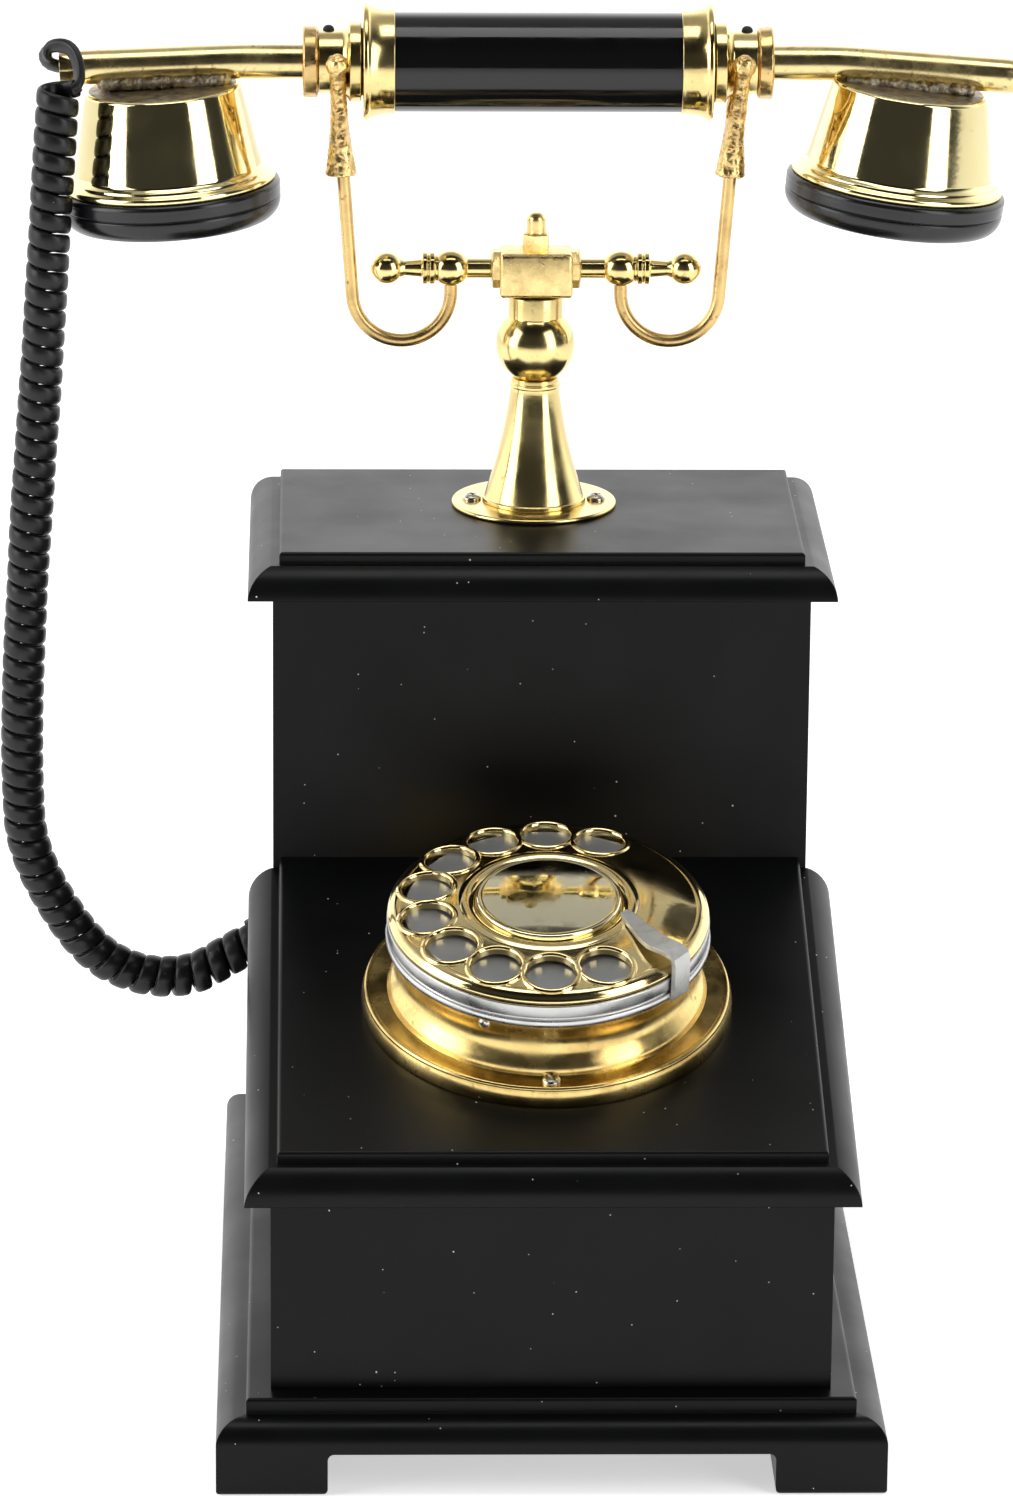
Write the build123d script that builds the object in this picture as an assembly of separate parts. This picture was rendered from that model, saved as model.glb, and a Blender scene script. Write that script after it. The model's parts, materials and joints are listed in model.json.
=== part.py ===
from build123d import *
from math import cos, pi, radians, sin, tan
import os

# French-style cradle telephone. Millimetres, +Z up, +X to the right as the user sees it, +Y to the back.
# The origin is the middle of the plinth, on the table.

# ---- driving dimensions ----
PLINTH_X, PLINTH_Y = 78.1, 114.8        # half width and half depth
PLINTH_TOP = 21.35
FOOT_HIGH, FOOT_WIDE = 10.2, 26.0
BODY_X = 65.4                           # half width of the cabinet
BODY_FRONT, TOWER_FRONT, BODY_BACK = -101.64, 19.33, 98.2
PANEL = 8.0
BOARD_X, BOARD_THICK = 71.44, 10.1      # deck and cap boards
FIELD_INSET = 7.64
DECK_EDGE_Y, DECK_EDGE_Z, DECK_SLOPE = -102.08, 80.12, 14.84
CAP_LOW = 179.63
CAP_FRONT, CAP_BACK = 11.86, 105.7
PILLAR_X, PILLAR_Y = -0.9, 64.8         # the pillar and the handset stand a little left of the middle
CROSS_Z = 249.65                        # axis of the cross arms
HANDSET_Z = 301.2                       # axis of the handset
HANDLE_HALF, NECK_END, ARM_END = 35.1, 57.3, 116.4
CUPS = {"left": (89.8, 271.0, 4.0), "right": (88.2, 271.6, 7.1)}   # reach, lip height, tilt
CUP_HIGH = 24.0
DIAL_ALONG = 61.85                      # dial centre, up the slope from the deck's front edge
WHEEL_R, HOLE_RING_R, HOLE_R = 38.0, 29.5, 6.0
HOLES, FIRST_HOLE, HOLE_STEP = 10, 64.0, 360 / 14
STOP_ANGLE = -39.4
ROD_R, RUNNING = 2.5, 0.06              # plunger rod and the radial play of a running fit
GEAR_TEETH, PINION_TEETH, TOOTH_MODULE = 40, 10, 0.8
CURL_R, LEAD_R = 5.2, 2.2

CAP_TOP = CAP_LOW + BOARD_THICK
SLOPE = radians(DECK_SLOPE)
DECK_END_Z = DECK_EDGE_Z + (TOWER_FRONT - DECK_EDGE_Y) * tan(SLOPE)
UNDER_DECK = BOARD_THICK / cos(SLOPE)   # vertical thickness of the sloping board
DECK = Plane(origin=(0, DECK_EDGE_Y, DECK_EDGE_Z), x_dir=(1, 0, 0), z_dir=(0, -sin(SLOPE), cos(SLOPE)))
DIAL = DECK.location * Pos(0, DIAL_ALONG, 0)
PILLAR = Pos(PILLAR_X, PILLAR_Y, 0)
ON_BASE = (Align.CENTER, Align.CENTER, Align.MIN)
SIDES = (("left", -1), ("right", 1))

# The cords' routes: the curly stretch from the handset down to the bush in the cabinet's side, and the
# loose loop that joins it to the arm tube's open end.
CURLY_ROUTE = [
    (-117.2, 51.2, 297.6), (-118.5, 49.4, 279.0), (-120.1, 49.0, 255.0), (-122.0, 50.2, 227.0),
    (-124.4, 51.0, 198.0), (-126.3, 52.0, 170.0), (-127.7, 53.0, 144.0), (-128.1, 54.4, 122.0),
    (-127.2, 56.2, 101.0), (-112.9, 58.0, 75.6), (-99.6, 58.2, 68.0), (-86.4, 58.3, 67.9),
    (-78.2, 58.5, 72.75), (-70.2, 59.0, 77.3),
]
LEAD_ROUTE = [
    (-113.3, 64.8, 299.57), (-119.1, 64.8, 299.57), (-121.1, 63.8, 302.6), (-118.9, 61.4, 305.8),
    (-114.6, 58.4, 306.2), (-113.4, 55.2, 304.4), (-115.0, 52.6, 302.4), (-117.0, 51.4, 300.4),
    (-117.2, 51.2, 297.6),
]


# ---- helpers ----
def block(x, y, z):
    """Box between the low and high values of each pair."""
    size = [pair[1] - pair[0] for pair in (x, y, z)]
    middle = [(pair[0] + pair[1]) / 2 for pair in (x, y, z)]
    return Pos(*middle) * Box(*size)


def disc(radius, low, high):
    return Pos(0, 0, low) * Cylinder(radius, high - low, align=ON_BASE)


def ring(outer, inner, low, high):
    return disc(outer, low, high) - disc(inner, low, high)


def rod(start, end, radius):
    """Round rod between two points."""
    line = Vector(*end) - Vector(*start)
    return Plane(origin=start, z_dir=line).location * Cylinder(radius, line.length, align=ON_BASE)


def region(corners):
    """Flat face inside the corners; a pair (middle, end) is an arc through the middle point."""
    edges = []
    here = corners[0]
    for item in corners[1:]:
        if isinstance(item[0], tuple):
            edges.append(ThreePointArc(here, item[0], item[1]))
            here = item[1]
        else:
            edges.append(Line(here, item))
            here = item
    edges.append(Line(here, corners[0]))
    return make_face(edges)


def turned(corners):
    """Solid of revolution about Z from (radius, height) corners."""
    return revolve(Plane.XZ * region(corners), Axis.Z)


def prism(corners, plane, reach):
    """Region swept both ways along the plane's normal."""
    return extrude(plane * region(corners), amount=reach, both=True)


def tube_along(points, radius, label):
    """Round tube of straight runs joined by tangent arcs as large as the runs allow."""
    corners = [Vector(*p) for p in points]
    radii = []
    for before, here, after in zip(corners, corners[1:], corners[2:]):
        run_in, run_out = here - before, after - here
        shorter = min(run_in.length, run_out.length)
        radii.append(0.45 * shorter / tan(radians(run_in.get_angle(run_out)) / 2))
    path = FilletPolyline(*corners, radius=radii)
    solid = sweep(Plane(origin=path @ 0, z_dir=path % 0) * Circle(radius), path=path)
    expected = pi * radius ** 2 * path.length
    print(f"{label}: length {path.length:.1f} mm, smallest radius {min(radii):.1f} mm,",
          f"volume {solid.volume / expected:.4f} of section times length")
    return solid


def coil_spring(radius, wire, pitch, low, high):
    line = Helix(pitch=pitch, height=high - low - 2 * wire, radius=radius)
    section = Plane(origin=line @ 0, z_dir=line % 0) * Circle(wire)
    return Pos(0, 0, low + wire) * sweep(section, path=line, is_frenet=True)


def screw(head_r, head_high, shank_r, shank_long, slots=1):
    """Screw standing on z = 0 with its shank below, slotted or cross-headed."""
    solid = disc(head_r, 0, head_high)
    solid = fillet(solid.edges().group_by(Axis.Z)[-1], head_high * 0.6)
    for k in range(slots):
        cut = Box(2 * head_r * (1.1 if slots == 1 else 0.6), head_r * 0.26, head_high)
        solid -= Pos(0, 0, head_high) * Rot(0, 0, 90 * k + 35) * cut
    return solid + disc(shank_r, -shank_long, 0)


# ---- wooden cabinet ----
def mould(thick):
    """Half section of a board's edge: inset from the outer edge against height."""
    ledge = thick - 2.7
    return [(0, 0), (0, 0.3), ((1.6, ledge - 2.8), (5.6, ledge)), (FIELD_INSET, ledge),
            (FIELD_INSET, thick - 0.8), ((FIELD_INSET + 0.24, thick - 0.24), (FIELD_INSET + 0.8, thick))]


def plinth_mould():
    return [(1.2, 0), ((0.35, 0.35), (0, 1.2)), (0, 11.7), ((1.6, 16.0), (5.4, 17.6)), (7.0, 17.7),
            (7.0, PLINTH_TOP - 0.8), ((7.24, PLINTH_TOP - 0.24), (7.8, PLINTH_TOP))]


def board(half_x, half_y, edge):
    """Board with a moulded edge and a raised field, its corners mitred."""
    def across(half, plane, about, reach):
        corners = [(0, 0)]
        for item in edge:
            if isinstance(item[0], tuple):
                corners.append(tuple((half - inset, high) for inset, high in item))
            else:
                corners.append((half - item[0], item[1]))
        last = corners[-1][1] if isinstance(corners[-1][0], tuple) else corners[-1]
        corners.append((0, last[1]))
        one_half = prism(corners, plane, reach)
        return one_half + mirror(one_half, about)
    return across(half_x, Plane.XZ, Plane.YZ, half_y) & across(half_y, Plane.YZ, Plane.XZ, half_x)


def arch(half):
    """Half outline of the gap between two feet, its corners rounded."""
    return [(0, -1), (half + 1.6, -1), (half + 1.6, 0), ((half + 0.47, 0.47), (half, 1.6)),
            (half, FOOT_HIGH - 1.5), ((half - 0.44, FOOT_HIGH - 0.44), (half - 1.5, FOOT_HIGH)),
            (0, FOOT_HIGH)]


def plinth():
    solid = board(PLINTH_X, PLINTH_Y, plinth_mould())
    for plane, half, reach, about in (
        (Plane.XZ, PLINTH_X - FOOT_WIDE, PLINTH_Y + 1, Plane.YZ),
        (Plane.YZ, PLINTH_Y - FOOT_WIDE, PLINTH_X + 1, Plane.XZ),
    ):
        gap = prism(arch(half), plane, reach)
        solid = solid - gap - mirror(gap, about)
    return solid


def under_deck(y):
    """Height of the deck's underside."""
    return DECK_END_Z - UNDER_DECK - (TOWER_FRONT - y) * tan(SLOPE)


def front_panel():
    inner = BODY_FRONT + PANEL
    corners = [(BODY_FRONT, PLINTH_TOP), (inner, PLINTH_TOP), (inner, under_deck(inner)),
               (BODY_FRONT, under_deck(BODY_FRONT))]
    return prism(corners, Plane.YZ, BODY_X)


def side_panel(sign):
    front, back = BODY_FRONT + PANEL, BODY_BACK - PANEL
    step = TOWER_FRONT + PANEL
    corners = [(front, PLINTH_TOP), (back, PLINTH_TOP), (back, CAP_LOW), (step, CAP_LOW),
               (step, under_deck(TOWER_FRONT)), (TOWER_FRONT, under_deck(TOWER_FRONT)),
               (front, under_deck(front))]
    inner = BODY_X - PANEL
    solid = prism(corners, Plane.YZ, BODY_X)
    slab = block(sorted((sign * inner, sign * BODY_X)), (front, back), (0, CAP_LOW + 1))
    solid = solid & slab
    if sign < 0:
        solid -= bush_core(CURLY_ROUTE)
    return solid


def tower_front():
    """Upright panel behind the dial."""
    return block((-BODY_X, BODY_X), (TOWER_FRONT, TOWER_FRONT + PANEL), (under_deck(TOWER_FRONT), CAP_LOW))


INLET_X, INLET_Z, INLET_BORE, INLET_STUB = -35.0, 45.0, 3.0, 5.0
SHANK_R, MOUNT_SHANK_R, BAND_SHANK_R = 1.4, 1.2, 0.6     # screws of the cabinet, dial mount and band


def back_panel():
    """Back of the cabinet, drilled for its screws and the line inlet."""
    solid = block((-BODY_X, BODY_X), (BODY_BACK - PANEL, BODY_BACK), (PLINTH_TOP, CAP_LOW))
    for x, z in BACK_SCREWS:
        solid -= Pos(x, BODY_BACK, z) * Rot(-90, 0, 0) * disc(SHANK_R, -PANEL, 0)
    return solid - rod((INLET_X, BODY_BACK - PANEL, INLET_Z), (INLET_X, BODY_BACK, INLET_Z), INLET_STUB)


BACK_SCREWS = [(x, z) for x in (-BODY_X + 12, BODY_X - 12) for z in (PLINTH_TOP + 10, CAP_LOW - 10)]
DIAL_OPENING = 33.0


def deck_board():
    """Sloping board, cut off at the tower and opened for the dial's works."""
    half_along = 80.0
    solid = board(BOARD_X, half_along, mould(BOARD_THICK))
    solid = DECK.location * Pos(0, half_along - FIELD_INSET, -BOARD_THICK) * solid
    solid -= block((-90, 90), (TOWER_FRONT, TOWER_FRONT + 80), (60, 180))
    solid -= DIAL * disc(DIAL_OPENING, -BOARD_THICK - 1, 1)
    for angle in MOUNT_SCREWS:
        solid -= DIAL * Rot(0, 0, angle) * Pos(MOUNT_SCREW_R, 0, 0) * disc(MOUNT_SHANK_R, -6, 0)
    return solid


def cap_board():
    half = (CAP_BACK - CAP_FRONT) / 2
    solid = Pos(0, CAP_FRONT + half, CAP_LOW) * board(BOARD_X, half, mould(BOARD_THICK))
    solid -= PILLAR * disc(ROD_R + 1.0, CAP_LOW - 1, CAP_TOP + 1)
    for sign in (-1, 1):
        solid -= PILLAR * Pos(sign * FLANGE_SCREW_X, 0, 0) * disc(SHANK_R, CAP_TOP - 7, CAP_TOP + 1)
    return solid


def line_inlet():
    """Bush in the back panel for the line cord."""
    flange = rod((INLET_X, BODY_BACK, INLET_Z), (INLET_X, BODY_BACK + 2, INLET_Z), 7.0)
    stub = rod((INLET_X, BODY_BACK - PANEL, INLET_Z), (INLET_X, BODY_BACK, INLET_Z), INLET_STUB)
    bore = rod((INLET_X, BODY_BACK - PANEL, INLET_Z), (INLET_X, BODY_BACK + 2, INLET_Z), INLET_BORE)
    return flange + stub - bore


def bush_core(route):
    """Slanting core of the bush, on the line of the curly cord's last run."""
    end = Vector(*route[-1])
    along = (end - Vector(*route[-2])).normalized()
    return rod(tuple(end), tuple(end + along * 18), CURL_R + 0.4)


def cord_bush():
    """Bush in the left side panel: slanting core and round flange."""
    y, z = CURLY_ROUTE[-1][1] + 0.3, CURLY_ROUTE[-1][2] + 2.7
    flange = rod((-BODY_X - 2.0, y, z), (-BODY_X, y, z), 9.5)
    return bush_core(CURLY_ROUTE) + flange


# ---- pillar ----
FLANGE_R, FLANGE_THICK, FLANGE_SCREW_X = 20.15, 1.2, 15.4
CONE_TOP, BALL_R, BALL_Z = 220.6, 9.75, 230.6
COLLAR_R, COLLAR_TOP = 6.65, 243.0


def pillar_flange():
    solid = disc(FLANGE_R, CAP_TOP, CAP_TOP + FLANGE_THICK)
    solid = fillet(solid.edges().group_by(Axis.Z)[-1], 0.5)
    solid -= disc(ROD_R + 0.9, CAP_TOP, CAP_TOP + FLANGE_THICK)
    for sign in (-1, 1):
        solid -= Pos(sign * FLANGE_SCREW_X, 0, 0) * disc(SHANK_R, CAP_TOP, CAP_TOP + FLANGE_THICK)
    return PILLAR * solid


def pillar_cone():
    low = CAP_TOP + FLANGE_THICK
    bore = ROD_R + 0.7
    corners = [(bore, low), (12.9, low), (12.9, low + 0.9), (12.4, low + 1.1),
               ((8.6, low + 14.0), (6.0, CONE_TOP - 0.6)), (6.3, CONE_TOP - 0.5), (6.3, CONE_TOP + 0.3),
               (5.8, CONE_TOP + 0.5), (5.8, CONE_TOP + 1.6), (bore, CONE_TOP + 1.6)]
    return PILLAR * turned(corners)


def pillar_ball():
    """Ball and guide collar, turned in one piece and bored for the plunger rod."""
    solid = Pos(0, 0, BALL_Z) * Sphere(BALL_R)
    solid -= disc(BALL_R, BALL_Z - BALL_R - 1, CONE_TOP + 1.6)
    solid += disc(COLLAR_R, BALL_Z + 5, COLLAR_TOP)
    return PILLAR * (solid - disc(ROD_R + RUNNING, 200, COLLAR_TOP + 1))


# ---- cradle, which rises a little when the handset is lifted ----
BLOCK_X, BLOCK_Y, BLOCK_LOW, BLOCK_TOP = 8.95, 5.8, 243.3, 254.4
BIG_BALL_X, BIG_BALL_R, END_BALL_X, END_BALL_R = 21.2, 4.35, 36.9, 3.65
HOOK_R, HOOK_BEND_R, HOOK_BEND_X, HOOK_BEND_Z = 1.55, 12.1, 33.0, 243.5
FORK_LOW, CROTCH_Z, PRONG_R, PRONG_BALL_R = 273.1, 283.0, 1.6, 2.6
HOOK_END_X = 47.4
FORKS = {"left": (47.9, 48.9), "right": (47.3, 49.8)}   # the fork's x at its foot and at its tips
ROD_FLANGE_Z, ROD_LOW = 164.0, 139.6


def cradle_block():
    """Pivot block with its side collars, hexagon nut and domed stud."""
    solid = block((-BLOCK_X, BLOCK_X), (-BLOCK_Y, BLOCK_Y), (BLOCK_LOW, BLOCK_TOP))
    solid = chamfer(solid.edges(), 1.1)
    octagon = extrude(RegularPolygon(4.6, 8, major_radius=False), amount=2.5)
    for _, sign in SIDES:
        solid += Pos(sign * (BLOCK_X - 0.5), 0, CROSS_Z) * Rot(0, 90 * sign, 0) * octagon
    nut_top = BLOCK_TOP + 4.3
    solid += Pos(0, 0, BLOCK_TOP - 0.5) * extrude(RegularPolygon(3.15, 6, major_radius=False), amount=4.8)
    stud = fillet(disc(2.35, nut_top - 0.5, nut_top + 5.0).edges().group_by(Axis.Z)[-1], 1.7)
    return PILLAR * (solid + stud)


def plunger_rod():
    """Rod through the pillar to the hook switch, with a flange for its spring and a small tip."""
    solid = disc(ROD_R, ROD_LOW + 3, BLOCK_LOW) + disc(1.2, ROD_LOW, ROD_LOW + 3)
    return PILLAR * (solid + disc(5.6, ROD_FLANGE_Z, ROD_FLANGE_Z + 1.8))


def cross_arm(sign):
    """Turned arm: rod, big ball, grooved ring, tapered rod and end ball."""
    corners = [(0, BLOCK_X + 2.0), (2.4, BLOCK_X + 2.0), (2.4, 22.0), (3.4, 22.0), (3.4, 24.7), (3.8, 25.0),
               (3.8, 25.9), (3.3, 26.4), (3.8, 26.9), (3.8, 27.8), (2.1, 28.1), (1.8, 35.0), (0, 35.0)]
    solid = turned(corners)
    solid += Pos(0, 0, BIG_BALL_X) * Sphere(BIG_BALL_R)
    solid += Pos(0, 0, END_BALL_X) * Sphere(END_BALL_R)
    return PILLAR * Pos(0, 0, CROSS_Z) * Rot(0, 90 * sign, 0) * solid


def hook(sign):
    """J-shaped wire from under the big ball, round and up to the fork."""
    turn = radians(85.6)
    bend_end = (HOOK_BEND_X + HOOK_BEND_R * sin(turn), HOOK_BEND_Z - HOOK_BEND_R * cos(turn))
    half = radians(42.8)
    middle = (HOOK_BEND_X, HOOK_BEND_Z - HOOK_BEND_R)
    start_x = HOOK_BEND_X - HOOK_BEND_R
    rise = FORK_LOW + 3 - bend_end[1]
    lean = (HOOK_END_X - bend_end[0]) / (FORK_LOW - bend_end[1])
    path = Plane.XZ * Curve([
        Line((start_x, CROSS_Z), (start_x, HOOK_BEND_Z)),
        ThreePointArc((start_x, HOOK_BEND_Z), middle, bend_end),
        Line(bend_end, (bend_end[0] + lean * rise, bend_end[1] + rise)),
    ])
    wire = sweep(Plane(origin=(start_x, 0, CROSS_Z), z_dir=(0, 0, -1)) * Circle(HOOK_R), path=path)
    wire -= Pos(BIG_BALL_X, 0, CROSS_Z) * Sphere(BIG_BALL_R)
    wire -= block((0, 60), (-5, 5), (FORK_LOW, FORK_LOW + 10))
    wire -= block((0, 60), (-5, 5), (CROSS_Z - 1.2, CROSS_Z + 1.2)) & block((0, 30), (-5, 5), (0, 300))
    solid = wire.solids().sort_by(SortBy.VOLUME)[-1]
    if sign < 0:
        solid = mirror(solid, Plane.YZ)
    return PILLAR * solid


def fork(side, sign):
    """Cast fork: tapered socket, two prongs and their ball tips."""
    foot_x, tip_x = FORKS[side]

    def at(z):
        return foot_x + (tip_x - foot_x) * (z - FORK_LOW) / (302.6 - FORK_LOW)

    socket = loft([
        Pos(at(FORK_LOW) - 0.3, 0, FORK_LOW) * Circle(3.6),
        Pos(at(CROTCH_Z), 0, CROTCH_Z - 0.5) * Circle(2.5),
    ])
    solid = socket + Pos(at(CROTCH_Z), 0, CROTCH_Z - 0.5) * Sphere(2.7)
    for y in (-1, 1):
        low, high = (at(CROTCH_Z), 2.2 * y, CROTCH_Z), (tip_x, 11.2 * y, 302.6)
        solid += rod(low, high, PRONG_R)
        solid += Pos(*low) * Sphere(PRONG_R + 0.5) + Pos(*high) * Sphere(PRONG_BALL_R)
    solid -= block((30, 60), (-20, 20), (FORK_LOW - 10, FORK_LOW))
    if sign < 0:
        solid = mirror(solid, Plane.YZ)
    return PILLAR * solid


# ---- handset ----
HANDLE_R, ARM_R, ARM_BORE = 12.1, 4.2, 3.2
ARM_BEND_X = 73.8
ARM_END_Z = {"left": 299.4, "right": 298.0}


def outward(sign):
    """Frame on the handset's axis whose +Z points out to one side."""
    return PILLAR * Pos(0, 0, HANDSET_Z) * Rot(0, 90 * sign, 0)


def handle():
    """Plain round grip."""
    return outward(1) * disc(HANDLE_R, -HANDLE_HALF, HANDLE_HALF)


def ferrule(sign):
    a = HANDLE_HALF
    return outward(sign) * turned([(0, a), (12.7, a), ((12.85, a + 3.4), (13.7, a + 5.8)), (14.15, a + 5.9),
                                   (14.15, a + 7.5), (0, a + 7.5)])


def neck(sign):
    """Turned neck between the ferrule and the arm tube."""
    a = HANDLE_HALF + 7.5
    flange = NECK_END - 3.8
    return outward(sign) * turned([(0, a), (8.2, a), (8.2, a + 0.4), (9.75, a + 0.4), (9.75, a + 3.2),
                                   (7.7, a + 4.5), (7.7, flange), (8.8, flange + 0.2), (8.8, NECK_END),
                                   (0, NECK_END)]) - neck_screw(sign)


def neck_screw(sign):
    """Small domed screw sunk into the top of the neck."""
    head = fillet(disc(1.4, 6.6, 8.9).edges().group_by(Axis.Z)[-1], 0.9)
    return PILLAR * Pos(sign * 51.0, 1.0, HANDSET_Z) * (head + disc(0.9, 4.0, 6.6))


def arm_path(side, sign):
    corners = [(NECK_END, HANDSET_Z), (ARM_BEND_X, HANDSET_Z), (ARM_END, ARM_END_Z[side])]
    return FilletPolyline(*((PILLAR_X + sign * x, PILLAR_Y, z) for x, z in corners), radius=60)


def arm_solid(side, sign, radius):
    path = arm_path(side, sign)
    return sweep(Plane(origin=path @ 0, z_dir=path % 0) * Circle(radius), path=path)


def arm(side, sign):
    return arm_solid(side, sign, ARM_R) - arm_solid(side, sign, ARM_BORE)


def cup_frame(side, sign):
    """Frame in the middle of a cup's lip, its Z up through the cup."""
    reach, high, degrees = CUPS[side]
    tilt = radians(degrees)
    return Plane(origin=(PILLAR_X + sign * reach, PILLAR_Y, high), x_dir=(cos(tilt), 0, -sign * sin(tilt)),
                 z_dir=(sign * sin(tilt), 0, cos(tilt))).location


def cup(side, sign):
    """Spun cup with a rolled lip, and the solder that joins it to the arm tube."""
    shell = turned([(21.6, 0), (25.1, 0), ((26.0, 0.9), (25.1, 1.8)), (24.4, 1.8), (24.4, 2.6), (23.6, 3.0),
                    (22.9, 4.0), (19.2, CUP_HIGH - 1.2), ((18.9, CUP_HIGH - 0.3), (18.0, CUP_HIGH)),
                    (0, CUP_HIGH), (0, CUP_HIGH - 1.4), (17.7, CUP_HIGH - 1.4), (21.6, 3.6)])
    solder = extrude(Pos(0, 0, CUP_HIGH - 1.0) * Rectangle(31.0, 6.6), amount=5.2)
    solder = chamfer(solder.edges().group_by(Axis.Z)[-1], 1.6)
    return cup_frame(side, sign) * (shell + solder) - arm_solid(side, sign, ARM_R)


CAP_INSIDE = -7.4                       # the cap's inner face, below the lip


def cap(side, sign):
    """Screwed cap with a seam, a domed face and sound holes."""
    solid = turned([(21.8, 0), (26.3, 0), ((26.8, -0.7), (26.9, -1.8)), (26.9, -3.7), (26.4, -4.0),
                    (26.8, -4.3), ((26.2, -7.2), (24.4, -9.0)), ((12.0, -9.8), (0, -10.0)),
                    (0, CAP_INSIDE), (21.8, CAP_INSIDE)])
    holes = [(0, 0)] + [(7.0 * cos(k * pi / 3), 7.0 * sin(k * pi / 3)) for k in range(6)]
    for x, y in holes:
        solid -= Pos(x, y, 0) * disc(1.2, -12, CAP_INSIDE + 1)
    return cup_frame(side, sign) * solid


def capsule(side, sign):
    """Sound capsule behind the cap."""
    return cup_frame(side, sign) * turned([(0, CAP_INSIDE), (21.0, CAP_INSIDE), (21.0, 2.0),
                                           (19.8, 6.0), (0, 6.0)])


def cord_anchor():
    """Plug in the left arm tube's mouth that holds the cord."""
    inside = arm_solid("left", -1, ARM_BORE)
    return inside & block((LEAD_ROUTE[0][0], LEAD_ROUTE[0][0] + 9), (50, 80), (280, 320))


# ---- dial, in its own frame: z is the height above the deck along the dial's axis ----
MOUNT_SCREW_R, MOUNT_SCREWS = 40.1, (-90, 30, 150)
MOUNT_TOP = 18.6
BAND_SCREW_ANGLE, BAND_SCREW_R, BAND_SCREW_Z, BAND_SCREW_TILT = -116, 35.62, 16.0, 111
BAND_TOP, WHEEL_LOW, WHEEL_TOP, PLATE_TOP = 24.6, 24.9, 28.9, 26.8
SHAFT_R, PLATE_LOW, PLATE_HIGH = 3.0, 15.6, 17.3
GEAR_LOW, GEAR_HIGH = 12.2, 14.2
GEAR_R = GEAR_TEETH * TOOTH_MODULE / 2
PINION_R = PINION_TEETH * TOOTH_MODULE / 2
GOVERNOR_R = GEAR_R + PINION_R


def dial_mount():
    """Spun brass mount, open below, with a flat screw flange and an inward lip on top."""
    solid = turned([
        (42.6, 0), (44.0, 0), ((43.9, 2.6), (43.3, 4.6)), ((42.9, 5.2), (42.3, 5.0)), (37.9, 5.0),
        ((37.5, 6.4), (36.9, 7.4)), ((34.9, 11.4), (35.0, 14.4)), ((35.9, 17.1), (36.8, MOUNT_TOP)),
        (31.0, MOUNT_TOP), (31.0, PLATE_HIGH), (34.8, PLATE_HIGH), ((33.6, 14.6), (33.6, 11.6)),
        ((35.2, 7.0), (36.2, 3.7)), (41.6, 3.7), ((42.3, 2.6), (42.6, 0.4))])
    for angle in MOUNT_SCREWS:
        solid -= Rot(0, 0, angle) * Pos(MOUNT_SCREW_R, 0, 0) * disc(MOUNT_SHANK_R, 2, 6)
    solid -= band_screw_place() * disc(BAND_SHANK_R, -1.6, 0.5)
    return DIAL * solid


def band_screw_place():
    """Where the small screw stands on the mount's wall, square to it."""
    return Rot(0, 0, BAND_SCREW_ANGLE) * Pos(BAND_SCREW_R, 0, BAND_SCREW_Z) * Rot(0, BAND_SCREW_TILT, 0)


def dial_band():
    """Grooved aluminium band that carries the number plate."""
    corners = [(35.6, MOUNT_TOP), (38.4, MOUNT_TOP), (38.4, 20.6), (37.8, 20.7), (37.8, 21.3), (38.2, 21.4),
               (38.2, BAND_TOP - 0.4), (37.8, BAND_TOP), (35.6, BAND_TOP)]
    return DIAL * turned(corners)


def number_plate():
    """Fixed plate seen through the finger holes, with a skirt down to the mount."""
    outer = 34.0
    corners = [(SHAFT_R + 1, PLATE_TOP - 1.0), (outer - 1.4, PLATE_TOP - 1.0),
               (outer - 1.4, MOUNT_TOP), (outer, MOUNT_TOP), (outer, PLATE_TOP - 0.5),
               (outer - 0.5, PLATE_TOP), (SHAFT_R + 1, PLATE_TOP)]
    return DIAL * turned(corners)


def hole_places():
    return [Rot(0, 0, FIRST_HOLE + k * HOLE_STEP) * Pos(HOLE_RING_R, 0, 0) for k in range(HOLES)]


def finger_wheel():
    """Ten-hole wheel with a rolled edge, rolled hole rims and a bead round its middle."""
    inner = WHEEL_R - 1.4
    solid = turned([
        (SHAFT_R, WHEEL_TOP - 1.3), (inner, WHEEL_TOP - 1.3), (inner, WHEEL_LOW),
        (WHEEL_R, WHEEL_LOW), (WHEEL_R, WHEEL_TOP - 2.6), ((37.2, WHEEL_TOP - 0.7), (35.2, WHEEL_TOP)),
        (21.3, WHEEL_TOP), ((19.4, WHEEL_TOP + 0.5), (17.6, WHEEL_TOP)), (SHAFT_R, WHEEL_TOP)])
    rim = turned([(HOLE_R, WHEEL_TOP - 1.3), (HOLE_R + 0.9, WHEEL_TOP - 1.3),
                  (HOLE_R + 0.9, WHEEL_TOP + 0.1), ((HOLE_R + 0.45, WHEEL_TOP + 0.45), (HOLE_R, WHEEL_TOP + 0.1))])
    for place in hole_places():
        solid -= place * disc(HOLE_R + 0.45, WHEEL_LOW - 1, WHEEL_TOP + 1)
        solid += place * rim
    return DIAL * solid


def centre_disc():
    return DIAL * turned([(0, WHEEL_TOP), (17.1, WHEEL_TOP), (17.1, WHEEL_TOP + 1.0),
                          ((16.9, WHEEL_TOP + 1.4), (16.4, WHEEL_TOP + 1.5)), (0, WHEEL_TOP + 1.6)])


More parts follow.
